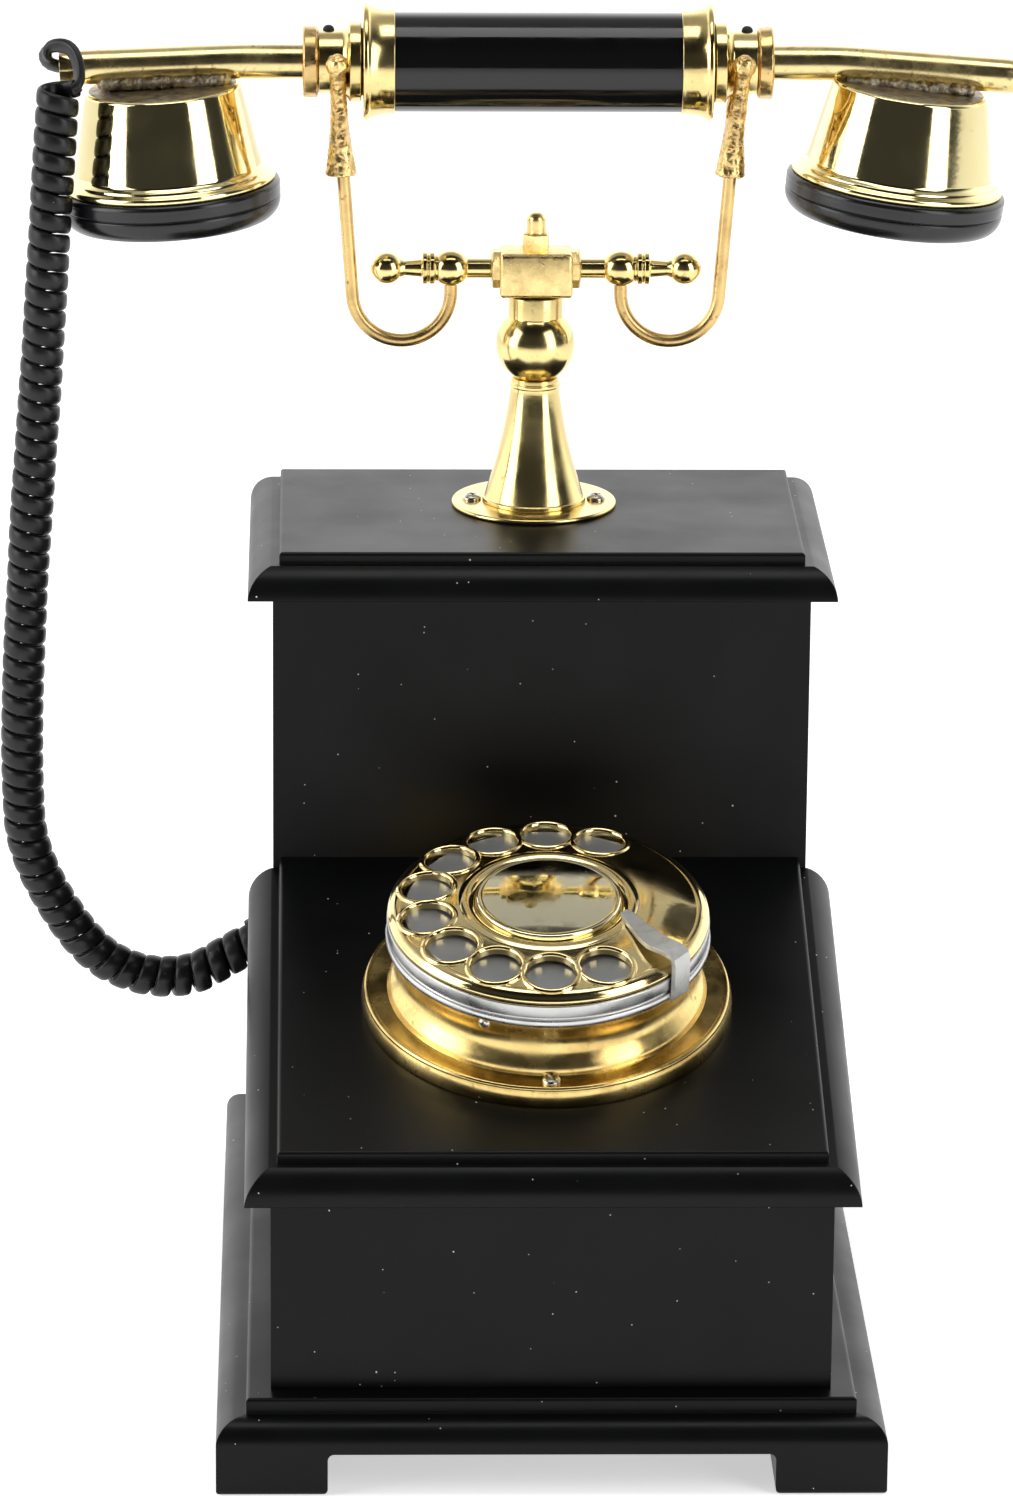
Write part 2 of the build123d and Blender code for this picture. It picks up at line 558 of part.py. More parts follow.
def gear(teeth, low, high, phase):
    """Spur gear with thin straight-flanked teeth; phase is the angle of its first tooth."""
    pitch_r = teeth * TOOTH_MODULE / 2
    root, tip = pitch_r - 0.85, pitch_r + 0.55
    solid = disc(root, low, high)
    outline = region([(root - 0.5, -0.75), (tip, -0.25), (tip, 0.25), (root - 0.5, 0.75)])
    tooth = extrude(Pos(0, 0, low) * outline, amount=high - low)
    for k in range(teeth):
        solid += Rot(0, 0, phase + 360 * k / teeth) * tooth
    return solid


def dial_spindle():
    """Shaft with the drive gear and the pulse cam, and the wheel on its end."""
    solid = disc(SHAFT_R, 1.0, WHEEL_TOP) + gear(GEAR_TEETH, GEAR_LOW, GEAR_HIGH, 0)
    cam = disc(9.0, 2.0, 4.0)
    for k in range(HOLES):
        cam -= Rot(0, 0, FIRST_HOLE + k * HOLE_STEP) * Pos(9.4, 0, 0) * disc(1.2, 2.0, 4.0)
    return DIAL * (solid + cam)


def governor():
    """Pinion, spindle and two fly weights."""
    solid = disc(1.0, 3.0, PLATE_HIGH - 0.4)
    solid += gear(PINION_TEETH, GEAR_LOW, GEAR_HIGH, 90 + 180 / PINION_TEETH)
    weights = disc(6.4, 4.5, 7.5) - block((-1.6, 1.6), (-7, 7), (4, 8))
    solid += weights + disc(2.2, 4.5, 7.5)
    solid += block((-2, 2), (-0.6, 0.6), (4.5, 7.5))
    return DIAL * Pos(0, GOVERNOR_R, 0) * solid


def dial_base_plate():
    """Plate under the mount's lip with the shaft bush and the governor's cup."""
    solid = disc(33.4, PLATE_LOW, PLATE_HIGH) + disc(5.5, PLATE_LOW - 1.0, PLATE_HIGH + 4.0)
    solid -= disc(SHAFT_R + RUNNING, PLATE_LOW - 2, PLATE_HIGH + 5)
    cup_solid = disc(8.6, 2.0, 9.5) - disc(7.6, 3.2, 9.5)
    for sign in (-1, 1):
        cup_solid += Pos(sign * 9.6, 2.0, 0) * disc(1.3, 2.0, PLATE_LOW)
    solid += Pos(0, GOVERNOR_R, 0) * cup_solid
    solid -= Pos(0, GOVERNOR_R, 0) * disc(1.0 + RUNNING, 2.8, PLATE_HIGH + 1)
    return DIAL * solid


def main_spring():
    """Flat spiral spring, held at its outer end."""
    turns, steps, inner, outer, half = 3.5, 42, 4.4, 10.4, 0.3

    def side(offset):
        points = []
        for k in range(steps + 1):
            angle = 2 * pi * turns * k / steps
            radius = inner + (outer - inner) * k / steps + offset
            points.append((radius * cos(angle), radius * sin(angle)))
        return points

    outline = side(half) + side(-half)[::-1]
    spiral = extrude(Pos(0, 0, 5.5) * make_face(Polyline(*outline, close=True)), amount=5.0)
    return DIAL * spiral


def pulse_contacts():
    """Post with the spring leaf that the cam works."""
    post = block((-27, -21), (-4, 4), (1, PLATE_LOW))
    leaf = block((-21, -9.7), (-2, 2), (2.6, 3.4))
    return DIAL * (post + leaf)


def finger_stop():
    """Bent strip: a leg outside the band and an arm curving in over the wheel."""
    inner_r, thick = 38.5, 1.3
    face_r = inner_r + thick
    arm_z = WHEEL_TOP + 0.95
    profile = [(face_r, 12.2), (face_r, 28.6), ((face_r - 1.3, arm_z + 1.5), (face_r - 4.2, arm_z + 1.9)),
               ((face_r - 11.0, arm_z + 1.2), (face_r - 24.0, arm_z + 0.9)), (face_r - 24.0, arm_z),
               ((face_r - 11.0, arm_z + 0.2), (inner_r - 2.6, arm_z + 0.6)),
               ((inner_r - 0.5, arm_z - 0.1), (inner_r, 28.2)), (inner_r, 13.4), (34.6, 13.4), (34.6, 12.2)]
    strip = extrude(Plane.XZ * region(profile), amount=9, both=True)
    plan = region([(30.0, -2.8), (42.0, -2.8), (42.0, 2.8), (33.5, 2.8), ((26.0, 4.6), (19.0, 6.9)),
                   ((17.6, 6.2), (18.0, 4.4)), ((25.5, 0.0), (31.5, -2.8))])
    leg = block((33, 42), (-2.8, 2.8), (0, 29))
    arm_part = extrude(Pos(0, 0, 27) * plan, amount=6)
    solid = strip & (leg + arm_part)
    solid -= disc(35.05, 0, 16)
    return DIAL * Rot(0, 0, STOP_ANGLE) * solid


# ---- hook switch in the tower ----
BRACKET_TOP, LEVER_Y, LEVER_Z = 150.0, 39.8, 136.6


def hook_bracket():
    """Shelf under the plunger spring with two cheeks for the lever's pin."""
    inner = TOWER_FRONT + PANEL
    solid = block((-11, 11), (inner, inner + 2), (120, BRACKET_TOP))
    solid += block((-11, 11), (inner, PILLAR_Y + 10), (BRACKET_TOP - 2, BRACKET_TOP))
    for sign in (-1, 1):
        solid += block(sorted((sign * 9, sign * 11)), (inner, LEVER_Y + 6), (128, BRACKET_TOP))
    solid -= PILLAR * disc(ROD_R + 0.8, 100, BRACKET_TOP + 1)
    return solid - rod((-12, LEVER_Y, LEVER_Z), (12, LEVER_Y, LEVER_Z), 1.5 + RUNNING)


def hook_lever():
    """Lever under the plunger rod, with its pivot pin."""
    solid = rod((-8.6, LEVER_Y, LEVER_Z), (8.6, LEVER_Y, LEVER_Z), 3.2)
    solid += rod((-10.8, LEVER_Y, LEVER_Z), (10.8, LEVER_Y, LEVER_Z), 1.5)
    return solid + block((-4, 4), (LEVER_Y, PILLAR_Y + 6), (LEVER_Z, ROD_LOW - 0.5))


def hook_contacts():
    """Stack of contact springs under the lever, pressed by a pip."""
    inner = TOWER_FRONT + PANEL
    solid = block((-7, 7), (inner, inner + 8), (108, 119.9))
    for k in range(3):
        z = 109 + 4 * k
        solid += block((-4, 4), (inner + 8, PILLAR_Y + 4), (z, z + 0.8))
        solid += Pos(0, PILLAR_Y, 0) * disc(1.0, z + 0.8, z + 1.6)
    return solid + Pos(0, PILLAR_Y + 1, 0) * disc(1.6, 117.8, LEVER_Z - 0.5)


def plunger_spring():
    """Spring between the bracket and the rod's flange."""
    return PILLAR * coil_spring(4.3, 0.45, 2.8, BRACKET_TOP, ROD_FLANGE_Z)


# ---- bell ----
GONG_X, GONG_Y, GONG_R, GONG_LOW = 27.5, -30.0, 23.0, 44.0
CLAPPER_Z, FRAME_Y = 68.0, -2.0


def gong(sign):
    """Open bell metal cup, domed on top."""
    dome = turned([(GONG_R, GONG_LOW), ((GONG_R - 6.5, GONG_LOW + 10.6), (6.0, GONG_LOW + 14.0)),
                   (2.0, GONG_LOW + 14.0), (2.0, GONG_LOW + 12.8), (5.6, GONG_LOW + 12.8),
                   ((GONG_R - 7.2, GONG_LOW + 9.6), (GONG_R - 1.2, GONG_LOW))])
    return Pos(sign * GONG_X, GONG_Y, 0) * dome


def bell_frame():
    """Standing frame with the clapper's pin, and the two gong posts on one foot plate."""
    solid = block((-36, 36), (-36, 26), (PLINTH_TOP, PLINTH_TOP + 1.6))
    solid += block((-15, 15), (FRAME_Y, FRAME_Y + 2), (PLINTH_TOP, 72))
    solid += rod((0, FRAME_Y, CLAPPER_Z), (0, FRAME_Y - 8, CLAPPER_Z), 1.0)
    for sign in (-1, 1):
        post = disc(2.0, PLINTH_TOP, GONG_LOW + 14.0) + disc(3.4, GONG_LOW + 14.0, GONG_LOW + 16.2)
        solid += Pos(sign * GONG_X, GONG_Y, 0) * post
    return solid


def bell_coils():
    """Two bobbins side by side with their yoke."""
    solid = block((-17, 17), (FRAME_Y + 24, FRAME_Y + 26), (50, 66))
    for x in (-9, 9):
        solid += rod((x, FRAME_Y + 2, 58), (x, FRAME_Y + 24, 58), 7.5)
    return solid


def clapper():
    """Hammer hanging between the gongs."""
    hub = rod((0, FRAME_Y - 6.5, CLAPPER_Z), (0, FRAME_Y - 3.5, CLAPPER_Z), 2.8)
    hub += block((-0.8, 0.8), (FRAME_Y - 6.0, FRAME_Y - 4.0), (CLAPPER_Z - 20, CLAPPER_Z))
    hub += rod((0, GONG_Y, CLAPPER_Z - 20), (0, FRAME_Y - 4.0, CLAPPER_Z - 20), 0.9)
    hub += Pos(0, GONG_Y, CLAPPER_Z - 20) * Sphere(2.4)
    return hub - rod((0, FRAME_Y - 9, CLAPPER_Z), (0, FRAME_Y, CLAPPER_Z), 1.0 + RUNNING)


# ---- circuit ----
def terminal_board():
    """Board with eight terminal studs on the plinth."""
    solid = block((-30, 30), (-80, -56), (PLINTH_TOP, PLINTH_TOP + 6))
    for k in range(8):
        solid += Pos(-26.25 + 7.5 * k, -68, 0) * disc(2.2, PLINTH_TOP + 6, PLINTH_TOP + 10)
    return solid


def induction_coil():
    """Bobbin between two cheeks on the plinth."""
    solid = rod((-20, 60, PLINTH_TOP + 11), (20, 60, PLINTH_TOP + 11), 9.0)
    for sign in (-1, 1):
        solid += block(sorted((sign * 20, sign * 22)), (49, 71), (PLINTH_TOP, PLINTH_TOP + 22))
    return solid


def base_screws():
    """Screws of the pillar flange, back panel and dial mount, and the small one under the dial's band."""
    parts = [DIAL * band_screw_place() * screw(1.3, 0.8, BAND_SHANK_R, 1.6, 2)]
    for sign in (-1, 1):
        place = PILLAR * Pos(sign * FLANGE_SCREW_X, 0, CAP_TOP + FLANGE_THICK)
        parts.append(place * screw(2.3, 1.2, SHANK_R, 8.0, 2))
    for x, z in BACK_SCREWS:
        parts.append(Pos(x, BODY_BACK, z) * Rot(-90, 0, 0) * screw(3.4, 1.8, SHANK_R, PANEL))
    for angle in MOUNT_SCREWS:
        place = DIAL * Rot(0, 0, angle) * Pos(MOUNT_SCREW_R, 0, 5.0)
        parts.append(place * screw(2.1, 1.1, MOUNT_SHANK_R, 11.0))
    return Compound(parts)


def build():
    parts = {
        "plinth": plinth(), "front_panel": front_panel(), "tower_front": tower_front(),
        "back_panel": back_panel(), "deck_board": deck_board(), "cap_board": cap_board(),
        "line_inlet": line_inlet(), "cord_bush": cord_bush(), "base_screws": base_screws(),
        "pillar_flange": pillar_flange(), "pillar_cone": pillar_cone(), "pillar_ball": pillar_ball(),
        "cradle_block": cradle_block(), "plunger_rod": plunger_rod(),
        "handle": handle(), "neck_screws": Compound([neck_screw(sign) for _, sign in SIDES]),
        "cord_anchor": cord_anchor(),
        "dial_mount": dial_mount(), "dial_band": dial_band(), "number_plate": number_plate(),
        "finger_wheel": finger_wheel(), "centre_disc": centre_disc(), "dial_spindle": dial_spindle(),
        "governor": governor(), "dial_base_plate": dial_base_plate(), "main_spring": main_spring(),
        "contact_springs": Compound([pulse_contacts(), hook_contacts()]), "finger_stop": finger_stop(),
        "hook_bracket": hook_bracket(), "hook_lever": hook_lever(),
        "plunger_spring": plunger_spring(),
        "bell_frame": bell_frame(), "bell_coils": bell_coils(), "clapper": clapper(),
        "terminal_board": terminal_board(), "induction_coil": induction_coil(),
    }
    for side, sign in SIDES:
        parts[f"side_panel_{side}"] = side_panel(sign)
        parts[f"cross_arm_{side}"] = cross_arm(sign)
        parts[f"hook_{side}"] = hook(sign)
        parts[f"fork_{side}"] = fork(side, sign)
        parts[f"ferrule_{side}"] = ferrule(sign)
        parts[f"neck_{side}"] = neck(sign)
        parts[f"arm_{side}"] = arm(side, sign)
        parts[f"cup_{side}"] = cup(side, sign)
        parts[f"cap_{side}"] = cap(side, sign)
        parts[f"capsule_{side}"] = capsule(side, sign)
        parts[f"gong_{side}"] = gong(sign)
    parts["curly_cord"] = tube_along(CURLY_ROUTE, CURL_R, "curly cord")
    parts["cord_lead"] = tube_along(LEAD_ROUTE, LEAD_R, "cord lead")
    return parts


os.makedirs("parts", exist_ok=True)
for name, solid in build().items():
    export_step(solid, f"parts/{name}.step")
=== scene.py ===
import json
import math
import random

import bmesh
import bpy
from mathutils import Matrix, Vector, noise


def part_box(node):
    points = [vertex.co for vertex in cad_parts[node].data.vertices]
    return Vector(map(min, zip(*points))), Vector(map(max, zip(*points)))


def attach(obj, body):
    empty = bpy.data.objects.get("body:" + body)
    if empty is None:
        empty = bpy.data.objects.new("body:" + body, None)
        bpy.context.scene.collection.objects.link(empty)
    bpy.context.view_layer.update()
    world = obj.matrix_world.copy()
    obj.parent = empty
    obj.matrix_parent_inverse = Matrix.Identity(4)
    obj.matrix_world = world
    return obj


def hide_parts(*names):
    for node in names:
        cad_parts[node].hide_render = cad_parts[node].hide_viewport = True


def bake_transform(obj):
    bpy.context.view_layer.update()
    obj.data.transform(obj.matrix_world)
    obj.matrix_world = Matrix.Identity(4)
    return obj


# French-style cradle telephone: the looks. Shapes are drawn in millimetres and MM turns them into metres.
# Lights, bumps and rounded edges are given in metres.
MM = 0.001

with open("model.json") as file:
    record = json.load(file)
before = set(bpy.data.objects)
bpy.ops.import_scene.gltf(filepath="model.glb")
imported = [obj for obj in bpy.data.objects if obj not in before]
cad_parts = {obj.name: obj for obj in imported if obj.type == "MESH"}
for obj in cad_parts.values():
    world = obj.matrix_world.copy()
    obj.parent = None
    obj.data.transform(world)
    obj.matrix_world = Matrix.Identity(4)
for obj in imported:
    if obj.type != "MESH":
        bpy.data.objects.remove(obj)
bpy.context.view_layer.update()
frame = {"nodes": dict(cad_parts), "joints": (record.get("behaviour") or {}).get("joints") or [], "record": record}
random.seed(7)


# ---------------------------------------------------------------- places, from the frame
def joint(name):
    """A joint of the frame, by name."""
    return next(j for j in frame["joints"] if j["name"] == name)


def middle(node):
    """Middle of a CAD node's box, in millimetres."""
    low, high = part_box(node)
    return (low + high) / (2 * MM)


def axes(origin, x_axis, z_axis):
    """Matrix, in millimetres, of a frame with that origin, first axis and third axis."""
    x, z = Vector(x_axis).normalized(), Vector(z_axis).normalized()
    y = z.cross(x)
    turn = Matrix((x, y, z)).transposed().to_4x4()
    return Matrix.Translation(origin) @ turn


SIDES = (("left", -1), ("right", 1))
PILLAR_X, PILLAR_Y, _ = middle("pillar_ball")
HANDSET = middle("handle")
CAP_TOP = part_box("cap_board")[1].z / MM
PILLAR = Matrix.Translation((PILLAR_X, PILLAR_Y, 0))
DIAL = axes(Vector(joint("dial_turn")["pos_m"]) / MM, (1, 0, 0), joint("dial_turn")["axis"])
CUPS = {"left": (89.8, 271.0, 4.0), "right": (88.2, 271.6, 7.1)}     # reach, lip height, tilt in degrees


def outward(sign):
    """Frame on the handset's axis whose +Z points out to one side."""
    return axes(HANDSET, (0, 0, -sign), (sign, 0, 0))


def cup_frame(side, sign):
    """Frame in the middle of a cup's lip, its Z up through the cup."""
    reach, high, degrees = CUPS[side]
    tilt = math.radians(degrees)
    return axes((PILLAR_X + sign * reach, PILLAR_Y, high), (math.cos(tilt), 0, -sign * math.sin(tilt)),
                (sign * math.sin(tilt), 0, math.cos(tilt)))


# ---------------------------------------------------------------- camera
CAMERA_PLACE = (-55.3, -1701.3, 675.2)
CAMERA_LENS = 177.08                    # on a sensor 36 mm high
CAMERA_TURN = (17.284, 1.492, 0.023)    # down, to the right and rolled, in degrees


def make_camera():
    """Long lens a little above the telephone and to its left."""
    pitch, yaw, roll = (math.radians(a) for a in CAMERA_TURN)
    right = Vector((1, 0, 0))
    forward = Vector((0, math.cos(pitch), -math.sin(pitch)))
    up = Vector((0, math.sin(pitch), math.cos(pitch)))
    turned = math.cos(yaw) * right - math.sin(yaw) * forward
    ahead = math.sin(yaw) * right + math.cos(yaw) * forward
    side = math.cos(roll) * turned + math.sin(roll) * up
    top = -math.sin(roll) * turned + math.cos(roll) * up
    data = bpy.data.cameras.new("camera")
    data.sensor_width = 36.0
    data.lens = CAMERA_LENS
    data.clip_start, data.clip_end = 0.05, 60.0
    camera = bpy.data.objects.new("camera", data)
    camera.matrix_world = (Matrix.Translation(Vector(CAMERA_PLACE) * MM)
                           @ Matrix((side, top, -ahead)).transposed().to_4x4())
    bpy.context.scene.collection.objects.link(camera)
    bpy.context.scene.camera = camera


make_camera()


# ---------------------------------------------------------------- materials
class Paint:
    """A Principled material, with short calls for the procedural layers on it."""

    def __init__(self, name, color, metallic=0.0, roughness=0.5, **sockets):
        self.material = bpy.data.materials.new(name)
        self.material.use_nodes = True
        self.nodes = self.material.node_tree.nodes
        self.links = self.material.node_tree.links
        self.shader = self.nodes["Principled BSDF"]
        self.shader.inputs["Base Color"].default_value = (*color, 1)
        self.shader.inputs["Metallic"].default_value = metallic
        self.shader.inputs["Roughness"].default_value = roughness
        for key, value in sockets.items():
            self.shader.inputs[key.replace("_", " ")].default_value = value
        self.place = self.nodes.new("ShaderNodeTexCoord").outputs["Object"]
        self.normal = None

    def spots(self, scale, detail=2.0, roughness=0.5, stretch=None):
        """Noise from 0 to 1 over the object, scale in features per metre."""
        texture = self.nodes.new("ShaderNodeTexNoise")
        texture.inputs["Scale"].default_value = scale
        texture.inputs["Detail"].default_value = detail
        texture.inputs["Roughness"].default_value = roughness
        source = self.place
        if stretch:
            mapping = self.nodes.new("ShaderNodeMapping")
            mapping.inputs["Scale"].default_value = stretch
            self.links.new(self.place, mapping.inputs["Vector"])
            source = mapping.outputs["Vector"]
        self.links.new(source, texture.inputs["Vector"])
        return texture.outputs["Fac"]

    def span(self, value, low, high, out_low=0.0, out_high=1.0):
        """Map value from low..high to out_low..out_high, clamped."""
        node = self.nodes.new("ShaderNodeMapRange")
        for key, number in (("From Min", low), ("From Max", high), ("To Min", out_low), ("To Max", out_high)):
            node.inputs[key].default_value = number
        self.links.new(value, node.inputs["Value"])
        return node.outputs["Result"]

    def product(self, a, b):
        """One value times another."""
        node = self.nodes.new("ShaderNodeMath")
        node.operation = "MULTIPLY"
        self.links.new(a, node.inputs[0])
        self.links.new(b, node.inputs[1])
        return node.outputs[0]

    def blend_color(self, factor, color):
        """Lay a second colour over the first where factor is 1."""
        node = self.nodes.new("ShaderNodeMix")
        node.data_type = "RGBA"
        base = self.shader.inputs["Base Color"]
        if base.is_linked:
            self.links.new(base.links[0].from_socket, node.inputs["A"])
        else:
            node.inputs["A"].default_value = base.default_value
        node.inputs["B"].default_value = (*color, 1)
        self.links.new(factor, node.inputs["Factor"])
        self.links.new(node.outputs["Result"], base)

    def vary_roughness(self, value):
        """Take the roughness from a value that changes over the surface."""
        self.links.new(value, self.shader.inputs["Roughness"])

    def bump(self, height, distance):
        """Raise the surface by height times distance, in metres."""
        node = self.nodes.new("ShaderNodeBump")
        node.inputs["Distance"].default_value = distance
        node.inputs["Strength"].default_value = 1.0
        self.links.new(height, node.inputs["Height"])
        if self.normal is not None:
            self.links.new(self.normal, node.inputs["Normal"])
        self.normal = node.outputs["Normal"]
        self.links.new(self.normal, self.shader.inputs["Normal"])

    def round_edges(self, radius):
        """Shade sharp edges as if rounded by a radius in metres; called before any bump."""
        node = self.nodes.new("ShaderNodeBevel")
        node.samples = 6
        node.inputs["Radius"].default_value = radius
        self.normal = node.outputs["Normal"]
        self.links.new(self.normal, self.shader.inputs["Normal"])

    def specks(self, scale, size, share):
        """1 inside small round specks, one to a cell at most; share is the part of cells that have one."""
        cells = self.nodes.new("ShaderNodeTexVoronoi")
        cells.inputs["Scale"].default_value = scale
        self.links.new(self.place, cells.inputs["Vector"])
        dot = self.span(cells.outputs["Distance"], size * scale, size * scale * 0.6)
        split = self.nodes.new("ShaderNodeSeparateColor")
        self.links.new(cells.outputs["Color"], split.inputs["Color"])
        chosen = self.span(split.outputs["Red"], share, share - 0.001)
        return self.product(dot, chosen)


def black_paint():
    """Worn black paint of the case, with pale specks of dust."""
    paint = Paint("black_paint", (0.0028, 0.0030, 0.0031), roughness=0.32, Specular_IOR_Level=0.17)
    paint.round_edges(0.0005)
    paint.vary_roughness(paint.span(paint.spots(40, 4), 0.3, 0.7, 0.30, 0.40))
    paint.bump(paint.spots(260, 3), 0.00002)
    paint.bump(paint.spots(12, 2), 0.0001)
    paint.blend_color(paint.specks(170, 0.00026, 0.30), (0.70, 0.70, 0.68))
    paint.blend_color(paint.specks(380, 0.00019, 0.18), (0.62, 0.62, 0.60))
    return paint.material


def brass(name="brass", color=(0.82, 0.66, 0.29), low=0.11, high=0.25, tarnish=(0.42, 0.27, 0.09),
          worn=0.5):
    """Polished brass between two roughnesses, with brown tarnish; worn is how strong the tarnish gets."""
    paint = Paint(name, color, metallic=1.0, roughness=low)
    paint.round_edges(0.0002)
    paint.vary_roughness(paint.span(paint.spots(90, 5, 0.6), 0.35, 0.70, low, high))
    paint.blend_color(paint.span(paint.spots(60, 6, 0.65), 0.48, 0.78, 0.0, worn), tarnish)
    paint.blend_color(paint.span(paint.spots(420, 3, 0.6), 0.62, 0.74, 0.0, worn), tarnish)
    paint.bump(paint.spots(35, 2), 0.00010)
    paint.bump(paint.spots(900, 2), 0.000006)
    return paint.material


def cast_brass(name="cast_brass", color=(0.80, 0.57, 0.24), depth=0.00012, stained=0.75):
    """Grainy cast brass; depth is the grain's, stained how strong the stains get."""
    paint = Paint(name, color, metallic=1.0, roughness=0.28)
    paint.vary_roughness(paint.span(paint.spots(500, 4), 0.3, 0.7, 0.18, 0.42))
    paint.blend_color(paint.span(paint.spots(350, 5, 0.6), 0.45, 0.75, 0.0, stained), (0.30, 0.17, 0.06))
    paint.bump(paint.spots(1100, 3, 0.6), depth)
    return paint.material


def solder():
    """Rough grey solder stained brown and gold."""
    paint = Paint("solder", (0.46, 0.42, 0.33), metallic=1.0, roughness=0.34)
    paint.blend_color(paint.span(paint.spots(420, 6, 0.7), 0.40, 0.62), (0.13, 0.09, 0.05))
    paint.blend_color(paint.span(paint.spots(160, 4, 0.6), 0.52, 0.70), (0.62, 0.48, 0.20))
    paint.bump(paint.spots(900, 4, 0.7), 0.00035)
    return paint.material


def aluminium():
    """Bright, slightly marked aluminium."""
    paint = Paint("aluminium", (0.62, 0.62, 0.61), metallic=1.0, roughness=0.30)
    paint.vary_roughness(paint.span(paint.spots(120, 4), 0.3, 0.7, 0.22, 0.38))
    paint.blend_color(paint.span(paint.spots(150, 5, 0.6), 0.55, 0.80, 0.0, 0.5), (0.35, 0.34, 0.32))
    paint.bump(paint.spots(800, 2), 0.00001)
    return paint.material


def grey_metal():
    """Dull plated steel of the finger stop."""
    paint = Paint("grey_metal", (0.58, 0.58, 0.56), metallic=0.85, roughness=0.45)
    paint.round_edges(0.0003)
    paint.vary_roughness(paint.span(paint.spots(250, 4), 0.3, 0.7, 0.38, 0.55))
    paint.blend_color(paint.span(paint.spots(300, 5, 0.6), 0.50, 0.75, 0.0, 0.5), (0.26, 0.26, 0.25))
    paint.bump(paint.spots(1200, 3), 0.00002)
    return paint.material


def plate_grey():
    """Grey plate behind the finger holes."""
    paint = Paint("plate_grey", (0.30, 0.31, 0.32), metallic=0.6, roughness=0.32)
    paint.vary_roughness(paint.span(paint.spots(90, 4), 0.3, 0.7, 0.26, 0.42))
    return paint.material


def mirror_disc():
    """Polished golden disc in the dial's middle."""
    paint = Paint("mirror_disc", (0.88, 0.81, 0.56), metallic=1.0, roughness=0.04)
    paint.vary_roughness(paint.span(paint.spots(220, 6, 0.7), 0.45, 0.80, 0.03, 0.16))
    paint.bump(paint.spots(30, 2), 0.00006)
    return paint.material


def nickel():
    """Dirty nickel of the screws."""
    paint = Paint("nickel", (0.66, 0.63, 0.57), metallic=1.0, roughness=0.22)
    paint.vary_roughness(paint.span(paint.spots(900, 4), 0.3, 0.7, 0.16, 0.38))
    paint.blend_color(paint.span(paint.spots(700, 4), 0.55, 0.75), (0.20, 0.17, 0.13))
    return paint.material


def gloss_black():
    """Glossy black of the handle tube, drawn lengthwise."""
    paint = Paint("gloss_black", (0.004, 0.004, 0.0045), roughness=0.10)
    paint.vary_roughness(paint.span(paint.spots(70, 5, 0.6), 0.40, 0.75, 0.07, 0.22))
    paint.blend_color(paint.specks(260, 0.00016, 0.10), (0.50, 0.50, 0.50))
    paint.bump(paint.spots(60, 2, 0.5, stretch=(0.15, 1, 1)), 0.00008)
    return paint.material


def cap_black():
    """Moulded black of the two caps."""
    paint = Paint("cap_black", (0.006, 0.006, 0.007), roughness=0.24)
    paint.vary_roughness(paint.span(paint.spots(120, 5, 0.6), 0.35, 0.75, 0.18, 0.34))
    paint.bump(paint.spots(300, 2), 0.00001)
    return paint.material


def cord_black():
    """Black plastic of the curly cord."""
    paint = Paint("cord_black", (0.007, 0.007, 0.008), roughness=0.35, Specular_IOR_Level=0.34)
    paint.vary_roughness(paint.span(paint.spots(300, 4), 0.3, 0.7, 0.26, 0.44))
    paint.blend_color(paint.specks(700, 0.00010, 0.10), (0.42, 0.42, 0.42))
    paint.bump(paint.spots(900, 3), 0.00002)
    return paint.material


def dark_rubber():
    """Dull black of the bushes."""
    paint = Paint("dark_rubber", (0.012, 0.012, 0.012), roughness=0.6)
    paint.bump(paint.spots(700, 3), 0.00003)
    return paint.material


def works_steel():
    """Steel of the parts inside."""
    paint = Paint("works_steel", (0.46, 0.45, 0.43), metallic=1.0, roughness=0.38)
    paint.round_edges(0.0002)
    paint.vary_roughness(paint.span(paint.spots(200, 4), 0.3, 0.7, 0.30, 0.48))
    return paint.material


def board_brown():
    """Brown board of the circuit."""
    paint = Paint("board_brown", (0.09, 0.045, 0.022), roughness=0.5)
    paint.vary_roughness(paint.span(paint.spots(150, 4), 0.3, 0.7, 0.42, 0.6))
    return paint.material


PAINTS = {
    "black_paint": black_paint(), "brass": brass(), "cast_brass": cast_brass(), "solder": solder(),
    "bright_aluminium": aluminium(), "grey_metal": grey_metal(), "plate_grey": plate_grey(),
    "mirror_disc": mirror_disc(), "nickel": nickel(), "black_gloss": gloss_black(), "cap_black": cap_black(),
    "cord": cord_black(), "black_rubber": dark_rubber(), "works_steel": works_steel(),
    "gong_metal": works_steel(), "board_plastic": board_brown(),
    "worn_brass": brass("worn_brass", (0.70, 0.49, 0.20), 0.18, 0.38, (0.30, 0.17, 0.06), 0.85),
}


def smooth(mesh, angle=35):
    """Smooth shading, with edges sharper than angle degrees kept."""
    mesh.shade_smooth()
    mesh.set_sharp_from_angle(angle=math.radians(angle))


def paint_cad():
    """Every CAD node gets its slot's material; the detailed pieces below then replace most of them."""
    for part in frame["record"]["subparts"]:
        node = frame["nodes"][part["node"]]
        node.data.materials.clear()
        node.data.materials.append(PAINTS[part["material_slot"]])


paint_cad()


